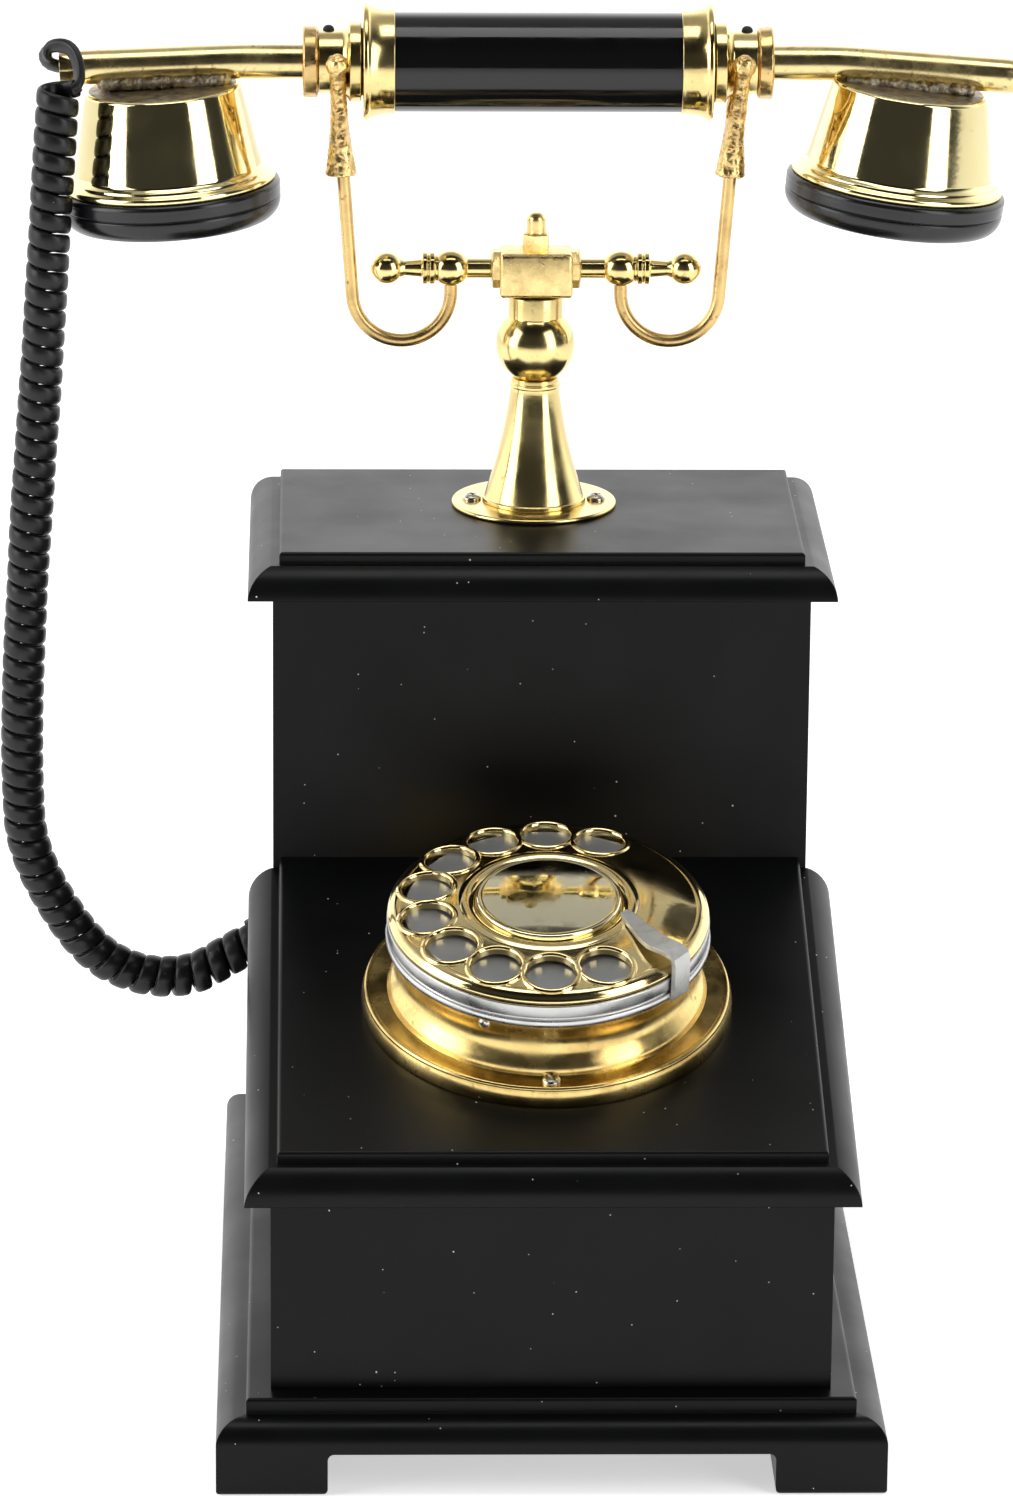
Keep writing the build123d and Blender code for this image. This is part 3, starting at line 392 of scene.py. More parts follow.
# ---------------------------------------------------------------- mesh helpers
def three_point_arc(start, through, end, steps):
    """Points after start, along the circle through three points, up to end."""
    ax, ay = start
    bx, by = through
    cx, cy = end
    d = 2 * (ax * (by - cy) + bx * (cy - ay) + cx * (ay - by))
    a, b, c = ax ** 2 + ay ** 2, bx ** 2 + by ** 2, cx ** 2 + cy ** 2
    ux = (a * (by - cy) + b * (cy - ay) + c * (ay - by)) / d
    uy = (a * (cx - bx) + b * (ax - cx) + c * (bx - ax)) / d
    radius = math.hypot(ax - ux, ay - uy)
    first = math.atan2(ay - uy, ax - ux)
    mid = (math.atan2(by - uy, bx - ux) - first) % (2 * math.pi)
    last = (math.atan2(cy - uy, cx - ux) - first) % (2 * math.pi)
    if mid > last:
        last -= 2 * math.pi
    turns = [first + last * k / steps for k in range(1, steps + 1)]
    return [(ux + radius * math.cos(turn), uy + radius * math.sin(turn)) for turn in turns]


def outline(corners, soft=0.0, closed=True, steps=10):
    """Points through the corners. A pair (middle, end) is an arc; other corners are rounded by soft."""
    points, is_corner = [corners[0]], [True]
    for item in corners[1:]:
        if isinstance(item[0], tuple):
            arc = three_point_arc(points[-1], item[0], item[1], steps)
            points += arc
            is_corner += [False] * (len(arc) - 1) + [True]
        else:
            points.append(item)
            is_corner.append(True)
    if soft <= 0:
        return points
    result = []
    count = len(points)
    for k, point in enumerate(points):
        ends = not closed and k in (0, count - 1)
        if ends or not is_corner[k] or point[0] < 1e-6:
            result.append(point)
            continue
        here, before, after = Vector(point), Vector(points[k - 1]), Vector(points[(k + 1) % count])
        back, on = before - here, after - here
        start = here + back.normalized() * min(soft, back.length * 0.45)
        stop = here + on.normalized() * min(soft, on.length * 0.45)
        for t in (0.0, 0.33, 0.67, 1.0):
            result.append(tuple(start * (1 - t) ** 2 + here * 2 * t * (1 - t) + stop * t ** 2))
    return result


def new_object(name, bm, place=Matrix.Identity(4), angle=35):
    """Object from a bmesh drawn in millimetres, with its place baked into the mesh."""
    bmesh.ops.recalc_face_normals(bm, faces=bm.faces)
    mesh = bpy.data.meshes.new(name)
    bm.to_mesh(mesh)
    bm.free()
    mesh.transform(Matrix.Scale(MM, 4) @ place)
    smooth(mesh, angle)
    obj = bpy.data.objects.new(name, mesh)
    bpy.context.scene.collection.objects.link(obj)
    return obj


def lathe(name, points, place=Matrix.Identity(4), segments=144, closed=True, angle=35):
    """Surface of revolution about Z through (radius, height) points."""
    bm = bmesh.new()
    rings = []
    for radius, height in points:
        if radius < 1e-6:
            rings.append([bm.verts.new((0, 0, height))])
            continue
        turns = [2 * math.pi * k / segments for k in range(segments)]
        rings.append([bm.verts.new((radius * math.cos(t), radius * math.sin(t), height)) for t in turns])
    pairs = list(zip(rings, rings[1:]))
    if closed:
        pairs.append((rings[-1], rings[0]))
    for low, high in pairs:
        for k in range(segments):
            j = (k + 1) % segments
            corners = [low[k % len(low)], low[j % len(low)], high[j % len(high)], high[k % len(high)]]
            corners = list(dict.fromkeys(corners))
            if len(corners) > 2:
                bm.faces.new(corners)
    return new_object(name, bm, place, angle)


def frames_along(points, first_side):
    """Tangent and side vectors at each point, the side carried along without twist."""
    tangents = []
    for k in range(len(points)):
        tangents.append((points[min(k + 1, len(points) - 1)] - points[max(k - 1, 0)]).normalized())
    side = Vector(first_side)
    frames = []
    for tangent in tangents:
        side = (side - tangent * side.dot(tangent)).normalized()
        frames.append((tangent, side.copy()))
    return frames


def circle(bm, centre, tangent, side, radius, segments):
    """Ring of vertices round a centre, square to the tangent."""
    other = tangent.cross(side)
    turns = [2 * math.pi * k / segments for k in range(segments)]
    return [bm.verts.new(centre + (side * math.cos(t) + other * math.sin(t)) * radius) for t in turns]


def skin(bm, rings):
    """Faces between neighbouring rings of vertices, and one over each end."""
    sides = len(rings[0])
    for low, high in zip(rings, rings[1:]):
        for k in range(sides):
            j = (k + 1) % sides
            bm.faces.new((low[k], low[j], high[j], high[k]))
    bm.faces.new(rings[0])
    bm.faces.new(rings[-1][::-1])


def tube(name, points, radii, place=Matrix.Identity(4), segments=32):
    """Round tube along the points; radii is one number or one for each point."""
    points = [Vector(p) for p in points]
    if not hasattr(radii, "__len__"):
        radii = [radii] * len(points)
    bm = bmesh.new()
    skin(bm, [circle(bm, point, tangent, side, radius, segments)
              for point, radius, (tangent, side) in zip(points, radii, frames_along(points, (0, 1, 0)))])
    return new_object(name, bm, place)


def ball(name, centre, radius, place=Matrix.Identity(4)):
    """Sphere round a centre."""
    bm = bmesh.new()
    bmesh.ops.create_uvsphere(bm, u_segments=40, v_segments=24, radius=radius,
                              matrix=Matrix.Translation(centre))
    return new_object(name, bm, place)


def slab(name, x, y, z, place=Matrix.Identity(4), round_by=0.0):
    """Box between low and high values, its edges rounded."""
    bm = bmesh.new()
    size = [b - a for a, b in (x, y, z)]
    centre = [(a + b) / 2 for a, b in (x, y, z)]
    bmesh.ops.create_cube(bm, size=1.0, matrix=Matrix.Translation(centre) @ Matrix.Diagonal((*size, 1)))
    if round_by:
        bmesh.ops.bevel(bm, geom=bm.edges[:], offset=round_by, segments=3, affect="EDGES", profile=0.5)
    return new_object(name, bm, place)


def joined(name, objects):
    """One object from several, their meshes put together."""
    bm = bmesh.new()
    for obj in objects:
        bm.from_mesh(obj.data)
        bpy.data.objects.remove(obj)
    mesh = bpy.data.meshes.new(name)
    bm.to_mesh(mesh)
    bm.free()
    smooth(mesh)
    obj = bpy.data.objects.new(name, mesh)
    bpy.context.scene.collection.objects.link(obj)
    return obj


def applied(obj):
    """Bake the object's modifiers into its mesh."""
    bpy.context.view_layer.update()
    graph = bpy.context.evaluated_depsgraph_get()
    mesh = bpy.data.meshes.new_from_object(obj.evaluated_get(graph))
    obj.modifiers.clear()
    obj.data = mesh
    return obj


def cut(obj, tools):
    """Cut closed tools out of an object."""
    for tool in tools:
        modifier = obj.modifiers.new("cut", "BOOLEAN")
        modifier.operation = "DIFFERENCE"
        modifier.solver = "EXACT"
        modifier.object = tool
    applied(obj)
    for tool in tools:
        bpy.data.objects.remove(tool)
    smooth(obj.data)
    return obj


def as_cast(obj, voxel, lumps, size, smoothing=4):
    """Melt an object's pieces into one rough casting: voxel and lump sizes in millimetres."""
    remesh = obj.modifiers.new("melt", "REMESH")
    remesh.mode = "VOXEL"
    remesh.voxel_size = voxel * MM
    soften = obj.modifiers.new("soften", "SMOOTH")
    soften.iterations = smoothing
    applied(obj)
    mesh = obj.data
    normals = [v.normal.copy() for v in mesh.vertices]
    for vertex, normal in zip(mesh.vertices, normals):
        push = noise.fractal(vertex.co / (size * MM), 0.8, 2.0, 3)
        vertex.co += normal * push * lumps * MM
    smooth(mesh, 180)
    return obj


def piece(obj, paint, body, slot, *nodes):
    """Paint a piece, let it ride a body and stand for CAD nodes."""
    obj.data.materials.clear()
    obj.data.materials.append(PAINTS[paint])
    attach(obj, body)
    if nodes:
        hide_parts(*nodes)
    return obj


# ---------------------------------------------------------------- curly cord
CURLY_ROUTE = [
    (-117.2, 51.2, 297.6), (-118.5, 49.4, 279.0), (-120.1, 49.0, 255.0), (-122.0, 50.2, 227.0),
    (-124.4, 51.0, 198.0), (-126.3, 52.0, 170.0), (-127.7, 53.0, 144.0), (-128.1, 54.4, 122.0),
    (-127.2, 56.2, 101.0), (-112.9, 58.0, 75.6), (-99.6, 58.2, 68.0), (-86.4, 58.3, 67.9),
    (-78.2, 58.5, 72.75), (-70.2, 59.0, 77.3),
]
LEAD_ROUTE = [
    (-113.3, 64.8, 299.57), (-119.1, 64.8, 299.57), (-121.1, 63.8, 302.6), (-118.9, 61.4, 305.8),
    (-114.6, 58.4, 306.2), (-112.4, 55.2, 303.0), (-112.0, 52.2, 298.6),
]
LEAD_BROAD = Vector((-0.35, 0.75, -0.55)).normalized()
COIL_R, COIL_TURNS, POINTS_PER_TURN = 4.2, 57, 16
FLAT_WIDE, FLAT_THICK = 4.4, 2.3
CORD_RESOLUTION = 4                     # mesh points for each control point of the cord's spline


def spline_points(route, resolution):
    """Points along the smooth NURBS line of a route, in millimetres."""
    data = bpy.data.curves.new("route", "CURVE")
    data.dimensions = "3D"
    spline = data.splines.new("NURBS")
    spline.points.add(len(route) - 1)
    for point, place in zip(spline.points, route):
        point.co = (*place, 1)
    spline.order_u = 3
    spline.use_endpoint_u = True
    spline.resolution_u = resolution
    obj = bpy.data.objects.new("route", data)
    mesh = bpy.data.meshes.new_from_object(obj)
    points = [v.co.copy() for v in mesh.vertices]
    bpy.data.objects.remove(obj)
    bpy.data.meshes.remove(mesh)
    return points


def evenly(points, count):
    """count points at even spacing along a line of points."""
    lengths = [0.0]
    for a, b in zip(points, points[1:]):
        lengths.append(lengths[-1] + (b - a).length)
    result, k = [], 0
    for i in range(count):
        want = lengths[-1] * i / (count - 1)
        while k < len(points) - 2 and lengths[k + 1] < want:
            k += 1
        share = (want - lengths[k]) / max(lengths[k + 1] - lengths[k], 1e-9)
        result.append(points[k].lerp(points[k + 1], share))
    return result


def helix_points():
    """The coil's centreline and, at each point, the direction of the coil's own axis."""
    count = COIL_TURNS * POINTS_PER_TURN + 1
    centre = evenly(spline_points(CURLY_ROUTE, 24), count)
    frames = frames_along(centre, (1, 0, 0))
    points, along = [], []
    for k, (point, (tangent, side)) in enumerate(zip(centre, frames)):
        turn = 2 * math.pi * k / POINTS_PER_TURN
        wobble = 0.22 * noise.noise(Vector((k * 0.013, 3.1, 0)))
        radius = COIL_R + wobble
        other = tangent.cross(side)
        points.append(point + (side * math.cos(turn) - other * math.sin(turn)) * radius)
        along.append(tangent)
    return points, along


def flat_section():
    """The cord's rounded flat section: across its broad side, and through its thickness."""
    section = []
    for k in range(16):
        t = 2 * math.pi * k / 16
        c, s = math.cos(t), math.sin(t)
        section.append((math.copysign(abs(c) ** 0.62, c) * FLAT_WIDE / 2,
                        math.copysign(abs(s) ** 0.8, s) * FLAT_THICK / 2))
    return section


def make_cord():
    """Flat cord: a loop round the arm tube's mouth, then the coil down to the bush."""
    coil, coil_axis = helix_points()
    lead = [Vector(p) for p in LEAD_ROUTE]
    tail = [Vector(CURLY_ROUTE[-1]) + coil_axis[-1] * reach for reach in (1.5, 5.0)]
    smooth_points = spline_points(lead + coil + tail, CORD_RESOLUTION)
    lead_points = len(spline_points(lead, CORD_RESOLUTION))
    count = len(smooth_points)
    section = flat_section()
    bm = bmesh.new()
    rings = []
    for k, point in enumerate(smooth_points):
        before, after = smooth_points[max(k - 1, 0)], smooth_points[min(k + 1, count - 1)]
        tangent = (after - before).normalized()
        nearest = round(len(coil) * (k - lead_points) / (count - lead_points))
        along = coil_axis[max(0, min(nearest, len(coil) - 1))]
        wide = LEAD_BROAD.lerp(along, max(0.0, min((k - lead_points + 6) / 26, 1.0)))
        broad = (wide - tangent * wide.dot(tangent)).normalized()
        thin = tangent.cross(broad)
        rings.append([bm.verts.new(point + broad * a + thin * b) for a, b in section])
    skin(bm, rings)
    cord = new_object("curly_cord_wire", bm, angle=60)
    cord.data.materials.append(PAINTS["cord"])
    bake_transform(cord)
    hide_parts("curly_cord", "cord_lead")


make_cord()


# ---------------------------------------------------------------- pillar
def make_pillar():
    """Flange disc, trumpet-shaped cone and globe with its collar."""
    low = CAP_TOP
    flange = outline([(2.9, low), (20.15, low), ((20.45, low + 0.6), (20.0, low + 1.2)),
                      (2.9, low + 1.2)], 0.15)
    piece(lathe("flange_disc", flange, PILLAR, 192), "brass", "base", "brass", "pillar_flange")
    base = low + 1.2
    top = 220.6
    cone = outline([(3.2, base), (12.8, base), (12.8, base + 0.9), (12.4, base + 1.1),
                    ((8.6, base + 14.0), (6.0, top - 0.6)), (6.25, top - 0.5), (6.25, top + 0.3),
                    (5.8, top + 0.5), (5.8, top + 1.6), (3.2, top + 1.6)], 0.15, steps=24)
    piece(lathe("pillar_trumpet", cone, PILLAR, 160), "brass", "base", "brass", "pillar_cone")
    globe = outline([(2.56, 222.2), (5.0, 222.2), ((9.75, 230.6), (6.9, 237.5)), (6.7, 237.7), (6.7, 243.0),
                     (2.56, 243.0)], 0.15, steps=40)
    piece(lathe("pillar_globe", globe, PILLAR, 160), "brass", "base", "brass", "pillar_ball")


def cross_head(name, radius, high, place, depth=0.5):
    """Domed screw head with a cross recess."""
    head = lathe(name, outline([(0, 0), (radius, 0), (radius, high * 0.35),
                                ((radius * 0.72, high * 0.85), (0, high))], 0.1), place, 48)
    arm = radius * 0.52
    bars = [slab("bar", (-a, a), (-b, b), (high - depth, high + 1), place)
            for a, b in ((arm, radius * 0.13), (radius * 0.13, arm))]
    return cut(head, bars)


def slot_head(name, radius, high, place):
    """Domed screw head with a slot."""
    head = lathe(name, outline([(0, 0), (radius, 0), (radius, high * 0.5),
                                ((radius * 0.75, high * 0.9), (0, high))], 0.1), place, 48)
    return cut(head, [slab("slot", (-radius - 1, radius + 1), (-0.28, 0.28), (high - 0.45, high + 1),
                           place @ Matrix.Rotation(0.6, 4, "Z"))])


def make_screws():
    """Screws in the pillar's flange, the back panel and the dial's rim."""
    spin = random.random
    heads = []
    for _, sign in SIDES:
        place = PILLAR @ Matrix.Translation((sign * 15.4, 0, CAP_TOP + 1.2)) @ Matrix.Rotation(spin(), 4, "Z")
        heads.append(cross_head("head", 2.3, 1.3, place))
    for x in (-53.4, 53.4):
        for z in (31.35, 169.6):
            place = axes((x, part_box("back_panel")[1].y / MM, z), (1, 0, 0), (0, 1, 0))
            heads.append(cross_head("head", 3.4, 1.7, place @ Matrix.Rotation(spin(), 4, "Z"), 0.8))
    for angle in (-90, 30, 150):
        place = DIAL @ Matrix.Rotation(math.radians(angle), 4, "Z") @ Matrix.Translation((40.1, 0, 5.0))
        heads.append(slot_head("head", 2.1, 1.1, place))
    piece(joined("screw_heads", heads), "nickel", "base", "nickel", "base_screws")


make_pillar()
make_screws()


# ---------------------------------------------------------------- cradle
CROSS_Z = 249.65
BALL_X, BALL_R = 21.2, 4.4


def cross_frame(sign):
    """Frame on the cross arms' axis whose +Z points out to one side."""
    return axes((PILLAR_X, PILLAR_Y, CROSS_Z), (0, 0, -sign), (sign, 0, 0))


def make_cradle_block():
    """Pivot block with an eight-sided collar each side, and the nut and stud on top."""
    block = slab("pivot_block", (-8.95, 8.95), (-5.8, 5.8), (243.3, 254.4), PILLAR, 1.0)
    octagon = outline([(2.4, 8.6), (4.9, 8.6), (4.9, 10.5), (4.4, 10.95), (2.4, 10.95)], 0.15)
    collars = [lathe("collar", octagon, cross_frame(sign) @ Matrix.Rotation(math.pi / 8, 4, "Z"), 8, angle=20)
               for _, sign in SIDES]
    nut = lathe("nut", outline([(2.2, 254.3), (3.5, 254.3), (3.5, 258.3), (3.1, 258.7), (2.2, 258.7)], 0.12),
                PILLAR @ Matrix.Rotation(0.35, 4, "Z"), 6, angle=20)
    domed = outline([(0, 254.5), (2.35, 254.5), (2.35, 261.8), ((1.75, 263.2), (0, 263.7))], 0.1)
    stud = lathe("stud", domed, PILLAR, 48)
    pivot = joined("cradle_pivot", [block, *collars, nut, stud])
    piece(pivot, "cast_gold", "cradle", "brass", "cradle_block")


def make_cross_arms():
    """Turned arms with a large ball, twin rings and a ball end."""
    for side, sign in SIDES:
        points = outline([(0, 10.9), (2.4, 10.9), (2.4, 16.9), (2.9, 17.2), ((BALL_R, BALL_X), (3.2, 24.3)),
                          (3.2, 24.7), (3.95, 25.0), (3.95, 26.0), (3.5, 26.4), (3.95, 26.8), (3.95, 27.8),
                          (2.2, 28.1), (1.8, 32.2), (2.4, 33.4), ((3.9, 36.8), (0, 40.7))],
                         0.12, closed=False, steps=24)
        turned = lathe(f"cross_arm_turned_{side}", points, cross_frame(sign), 72, closed=False)
        piece(turned, "brass", "cradle", "brass", f"cross_arm_{side}")


def hook_path():
    """The J wire's centreline on the right side, in x and z."""
    bend_x, bend_z, bend_r = 33.0, 243.5, 12.1
    points = [Vector((bend_x - bend_r, 0, z)) for z in (246.6, 245.0, 244.2)]
    for k in range(33):
        turn = math.radians(180 + 175.6 * k / 32)
        points.append(Vector((bend_x + bend_r * math.cos(turn), 0, bend_z + bend_r * math.sin(turn))))
    last = points[-1]
    for k in range(1, 13):
        points.append(last.lerp(Vector((47.4, 0, 273.4)), k / 12))
    return points


def make_hooks():
    """J-shaped wires that carry the forks."""
    for side, sign in SIDES:
        points = [Vector((sign * p.x, p.y, p.z)) for p in hook_path()]
        wire = tube(f"hook_wire_{side}", points, 1.62, PILLAR, 28)
        piece(wire, "worn_brass", "cradle", "brass", f"hook_{side}")


def make_forks():
    """Rough cast forks: flared socket, two prongs and their ball tips."""
    leans = {"left": (47.9, 48.9), "right": (47.3, 49.8)}           # x at the foot and at the tips
    low, high = 273.1, 302.6
    for side, sign in SIDES:
        foot, tip = leans[side]

        def at(z):
            return sign * (foot + (tip - foot) * (z - low) / (high - low))

        socket = tube("socket", [(at(z), 0, z) for z in (low, 274.0, 278.0, 281.0, 283.5)],
                      [3.75, 3.7, 3.1, 2.7, 2.7], PILLAR)
        parts = [socket]
        for y in (-1, 1):
            line = [(at(282.0), 1.2 * y, 282.0), (at(284.5), 2.7 * y, 284.5), (at(293.0), 6.7 * y, 293.0),
                    (at(302.0), 11.0 * y, 302.0)]
            parts.append(tube("prong", line, [2.5, 2.3, 1.95, 1.9], PILLAR))
            parts.append(ball("tip", (at(high), 11.2 * y, high), 2.85, PILLAR))
        fork = as_cast(joined(f"fork_cast_{side}", parts), 0.32, 0.22, 1.5)
        piece(fork, "cast_brass", "cradle", "cast_brass", f"fork_{side}")


PAINTS["cast_gold"] = cast_brass("cast_gold", (0.86, 0.66, 0.29), 0.00003, 0.4)
make_cradle_block()
make_cross_arms()
make_hooks()
make_forks()


# ---------------------------------------------------------------- handset
HANDLE_HALF = 35.1
ARM_START, ARM_BEND, ARM_END, ARM_R = 57.0, 73.8, 116.4, 4.2
ARM_END_Z = {"left": 299.4, "right": 298.0}
BORE_R, BORE_STEPS = 3.2, 12
CUP_HIGH = 24.0


def make_handle():
    """Plain black handle tube."""
    points = outline([(0, -HANDLE_HALF), (12.1, -HANDLE_HALF), (12.1, HANDLE_HALF), (0, HANDLE_HALF)])
    handle = lathe("handle_tube", points, outward(1), 192, closed=False)
    piece(handle, "black_gloss", "handset", "black_gloss", "handle")


def make_ferrules():
    """Flared rings at the handle's ends."""
    a = HANDLE_HALF
    for side, sign in SIDES:
        points = outline([(10.0, a - 0.2), (12.6, a - 0.2), (12.7, a), ((12.95, a + 3.6), (13.75, a + 5.7)),
                          (14.0, a + 6.0), ((14.3, a + 6.7), (14.1, a + 7.4)), (10.0, a + 7.5)],
                         0.12, steps=20)
        piece(lathe(f"ferrule_flared_{side}", points, outward(sign), 192), "brass", "handset", "brass",
              f"ferrule_{side}")


def make_necks():
    """Turned waists, rough flanges and the small screw in each neck."""
    a = HANDLE_HALF + 7.5
    for side, sign in SIDES:
        waist = outline([(3, a - 0.1), (8.2, a - 0.1), (8.2, a + 0.4), (9.75, a + 0.5), (9.75, a + 3.2),
                         ((8.5, a + 3.9), (7.7, a + 5.0)), (7.7, a + 10.8), (3, a + 11.0)], 0.2)
        flange = outline([(3, a + 10.9), (7.9, a + 10.9), (8.7, a + 11.3), (8.75, a + 14.3), (8.2, a + 14.7),
                          (3, a + 14.7)], 0.35)
        rough = lathe(f"neck_flange_{side}", flange, outward(sign), 96)
        bm = bmesh.new()
        bm.from_mesh(rough.data)
        bmesh.ops.subdivide_edges(bm, edges=bm.edges[:], cuts=1)
        bm.to_mesh(rough.data)
        bm.free()
        for vertex in rough.data.vertices:
            out = Vector((0, vertex.co.y - HANDSET.y * MM, vertex.co.z - HANDSET.z * MM))
            if out.length > 0.006:
                vertex.co += out.normalized() * 0.16 * MM * noise.fractal(vertex.co / (2.2 * MM), 0.8, 2.0, 3)
        smooth(rough.data, 60)
        turned = lathe(f"neck_waist_{side}", waist, outward(sign), 144)
        piece(turned, "brass", "handset", "brass", f"neck_{side}")
        piece(rough, "worn_brass", "handset", "brass")
        place = PILLAR @ Matrix.Translation((sign * 51.0, 1.0, HANDSET.z + 7.3))
        dome = outline([(0, 0), (1.4, 0), (1.4, 0.6), ((1.0, 1.3), (0, 1.6))], 0.1, closed=False)
        screw = lathe(f"neck_screw_{side}", dome, place, 32, closed=False)
        piece(screw, "black_rubber", "handset", "black_gloss", *(["neck_screws"] if sign < 0 else []))


def arm_line(side, sign):
    """Centreline of an arm tube: level, then gently down to its open end."""
    slope = (HANDSET.z - ARM_END_Z[side]) / (ARM_END - ARM_BEND)
    points = []
    for k in range(41):
        x = ARM_START + (ARM_END - ARM_START) * k / 40
        drop = 0.0 if x < ARM_BEND else (x - ARM_BEND) * slope
        ease = max(0.0, 1 - abs(x - ARM_BEND) / 4.0) ** 2 * slope
        points.append(Vector((PILLAR_X + sign * x, PILLAR_Y, HANDSET.z - drop - ease)))
    return points


def make_arms():
    """Open-ended arm tubes, their bores drawn a little way in."""
    for side, sign in SIDES:
        line = arm_line(side, sign)
        points = line + [line[-1]] * 2 + line[::-1][:BORE_STEPS]
        frames = frames_along(line, (0, 1, 0))
        frames += [frames[-1]] * 2 + frames[::-1][:BORE_STEPS]
        radii = [ARM_R] * (len(line) - 1) + [ARM_R - 0.15, ARM_R - 0.25, BORE_R + 0.1] + [BORE_R] * BORE_STEPS
        bm = bmesh.new()
        skin(bm, [circle(bm, point, tangent, across, radius, 48)
                  for point, radius, (tangent, across) in zip(points, radii, frames)])
        arm = new_object(f"arm_tube_{side}", bm)
        piece(arm, "arm_brass", "handset", "brass", f"arm_{side}")


def make_cups():
    """Spun cups with rolled lips, and the black caps screwed into them."""
    for side, sign in SIDES:
        place = cup_frame(side, sign)
        shell = outline([(21.6, 0), (25.0, -0.1), ((26.05, 0.9), (25.0, 1.9)), ((24.5, 2.2), (24.2, 2.8)),
                         (23.7, 3.1), ((23.1, 3.6), (22.8, 4.4)), (19.2, CUP_HIGH - 0.8),
                         ((18.9, CUP_HIGH - 0.2), (18.3, CUP_HIGH)), (0, CUP_HIGH), (0, CUP_HIGH - 1.4),
                         (17.7, CUP_HIGH - 1.4), (21.6, 3.6)], 0.12, steps=12)
        cup = lathe(f"cup_spun_{side}", shell, place, 224)
        piece(cup, "cup_brass", "handset", "brass", f"cup_{side}")
        make_solder(side, sign, place)
        cap = outline([(21.8, 0), (26.2, 0), ((26.8, -0.6), (26.9, -1.6)), (26.9, -3.7), (26.4, -4.0),
                       (26.8, -4.3), ((26.2, -7.2), (24.4, -9.0)), ((12.0, -9.8), (0, -10.0)),
                       (0, -7.4), (21.8, -7.4)], 0.15, steps=16)
        cover = lathe(f"cap_turned_{side}", cap, place, 192)
        turns = [k * math.pi / 3 for k in range(6)]
        holes = [(0.0, 0.0)] + [(7.0 * math.cos(turn), 7.0 * math.sin(turn)) for turn in turns]
        drills = [tube("drill", [(x, y, -12), (x, y, -6)], 1.2, place, 20) for x, y in holes]
        cut(cover, drills)
        piece(cover, "cap_black", "handset", "black_gloss", f"cap_{side}")


def make_solder(side, sign, place):
    """Rough solder along both flanks of the arm tube, and its stain on the cup's top."""
    blobs = []
    line = arm_line(side, sign)
    for k in range(26):
        x = 76.5 + 29.0 * k / 25
        point = min(line, key=lambda p: abs(abs(p.x - PILLAR_X) - x))
        for y in (-1, 1):
            size = 1.7 + 0.7 * noise.noise(Vector((x * 0.31, y * 5.0, sign)))
            out = 2.4 + 0.5 * noise.noise(Vector((x * 0.2, y, 2 * sign)))
            blobs.append(ball("blob", (PILLAR_X + sign * x, PILLAR_Y + y * out, point.z - 4.0), size))
    bead = as_cast(joined(f"solder_bead_{side}", blobs), 0.45, 0.5, 1.4, 3)
    piece(bead, "solder", "handset", "brass")
    stain = outline([(0, CUP_HIGH - 0.1), (18.2, CUP_HIGH - 0.1), (18.0, CUP_HIGH + 0.06),
                     (0, CUP_HIGH + 0.08)], closed=False)
    piece(lathe(f"solder_stain_{side}", stain, place, 96, closed=False), "solder", "handset", "brass")


PAINTS["arm_brass"] = brass("arm_brass", (0.78, 0.63, 0.30), 0.15, 0.34, (0.30, 0.21, 0.09), 0.85)
PAINTS["cup_brass"] = brass("cup_brass", (0.91, 0.79, 0.42), 0.05, 0.13, (0.55, 0.42, 0.16), 0.35)
make_handle()
make_ferrules()
make_necks()
make_arms()
make_cups()


# ---------------------------------------------------------------- dial
MOUNT_TOP, BAND_TOP = 18.6, 24.6
WHEEL_LOW, WHEEL_TOP, PLATE_TOP = 24.9, 28.9, 26.8
HOLE_RING_R, HOLE_R, FIRST_HOLE, HOLE_STEP = 29.5, 6.0, 64.0, 360 / 14
STOP_ANGLE, BAND_SCREW_ANGLE = -39.4, -116
RIM_LEAN = 7                            # tilt of each finger hole's rim on the domed wheel, in degrees


def dial_turned(name, points, segments=256):
    """Surface of revolution round the dial's axis."""
    return lathe(name, points, DIAL, segments)


def make_mount():
    """Spun foot of the dial, waisted between its rim and the band."""
    points = outline([
        (42.6, 0), (43.9, 0), ((44.1, 2.2), (43.5, 4.4)), ((42.9, 5.3), (42.2, 5.0)), (37.9, 5.0),
        ((37.5, 6.5), (36.9, 7.4)), ((34.9, 11.4), (35.0, 14.4)), ((35.9, 17.1), (36.8, MOUNT_TOP)),
        (31.0, MOUNT_TOP), (31.0, 17.3), (34.8, 17.3), ((33.6, 14.6), (33.6, 11.6)),
        ((35.2, 7.0), (36.2, 3.7)), (41.6, 3.7), ((42.3, 2.6), (42.6, 0.4))], 0.25, steps=16)
    piece(dial_turned("mount_spun", points), "mount_brass", "base", "brass", "dial_mount")


def make_band():
    """Grooved aluminium band and the screw below it."""
    points = outline([(35.6, MOUNT_TOP), (38.2, MOUNT_TOP), ((38.5, 19.6), (38.3, 20.5)), (37.7, 20.7),
                      (37.7, 21.3), (38.2, 21.5), (38.2, BAND_TOP - 0.2), (37.9, BAND_TOP),
                      (35.6, BAND_TOP)], 0.15)
    piece(dial_turned("band_grooved", points), "bright_aluminium", "base", "bright_aluminium", "dial_band")
    turned = DIAL @ Matrix.Rotation(math.radians(BAND_SCREW_ANGLE), 4, "Z")
    place = turned @ Matrix.Translation((35.4, 0, 16.0))
    place = place @ Matrix.Rotation(math.pi / 2, 4, "Y")
    piece(cross_head("band_screw", 1.5, 1.0, place, 0.35), "nickel", "base", "nickel")


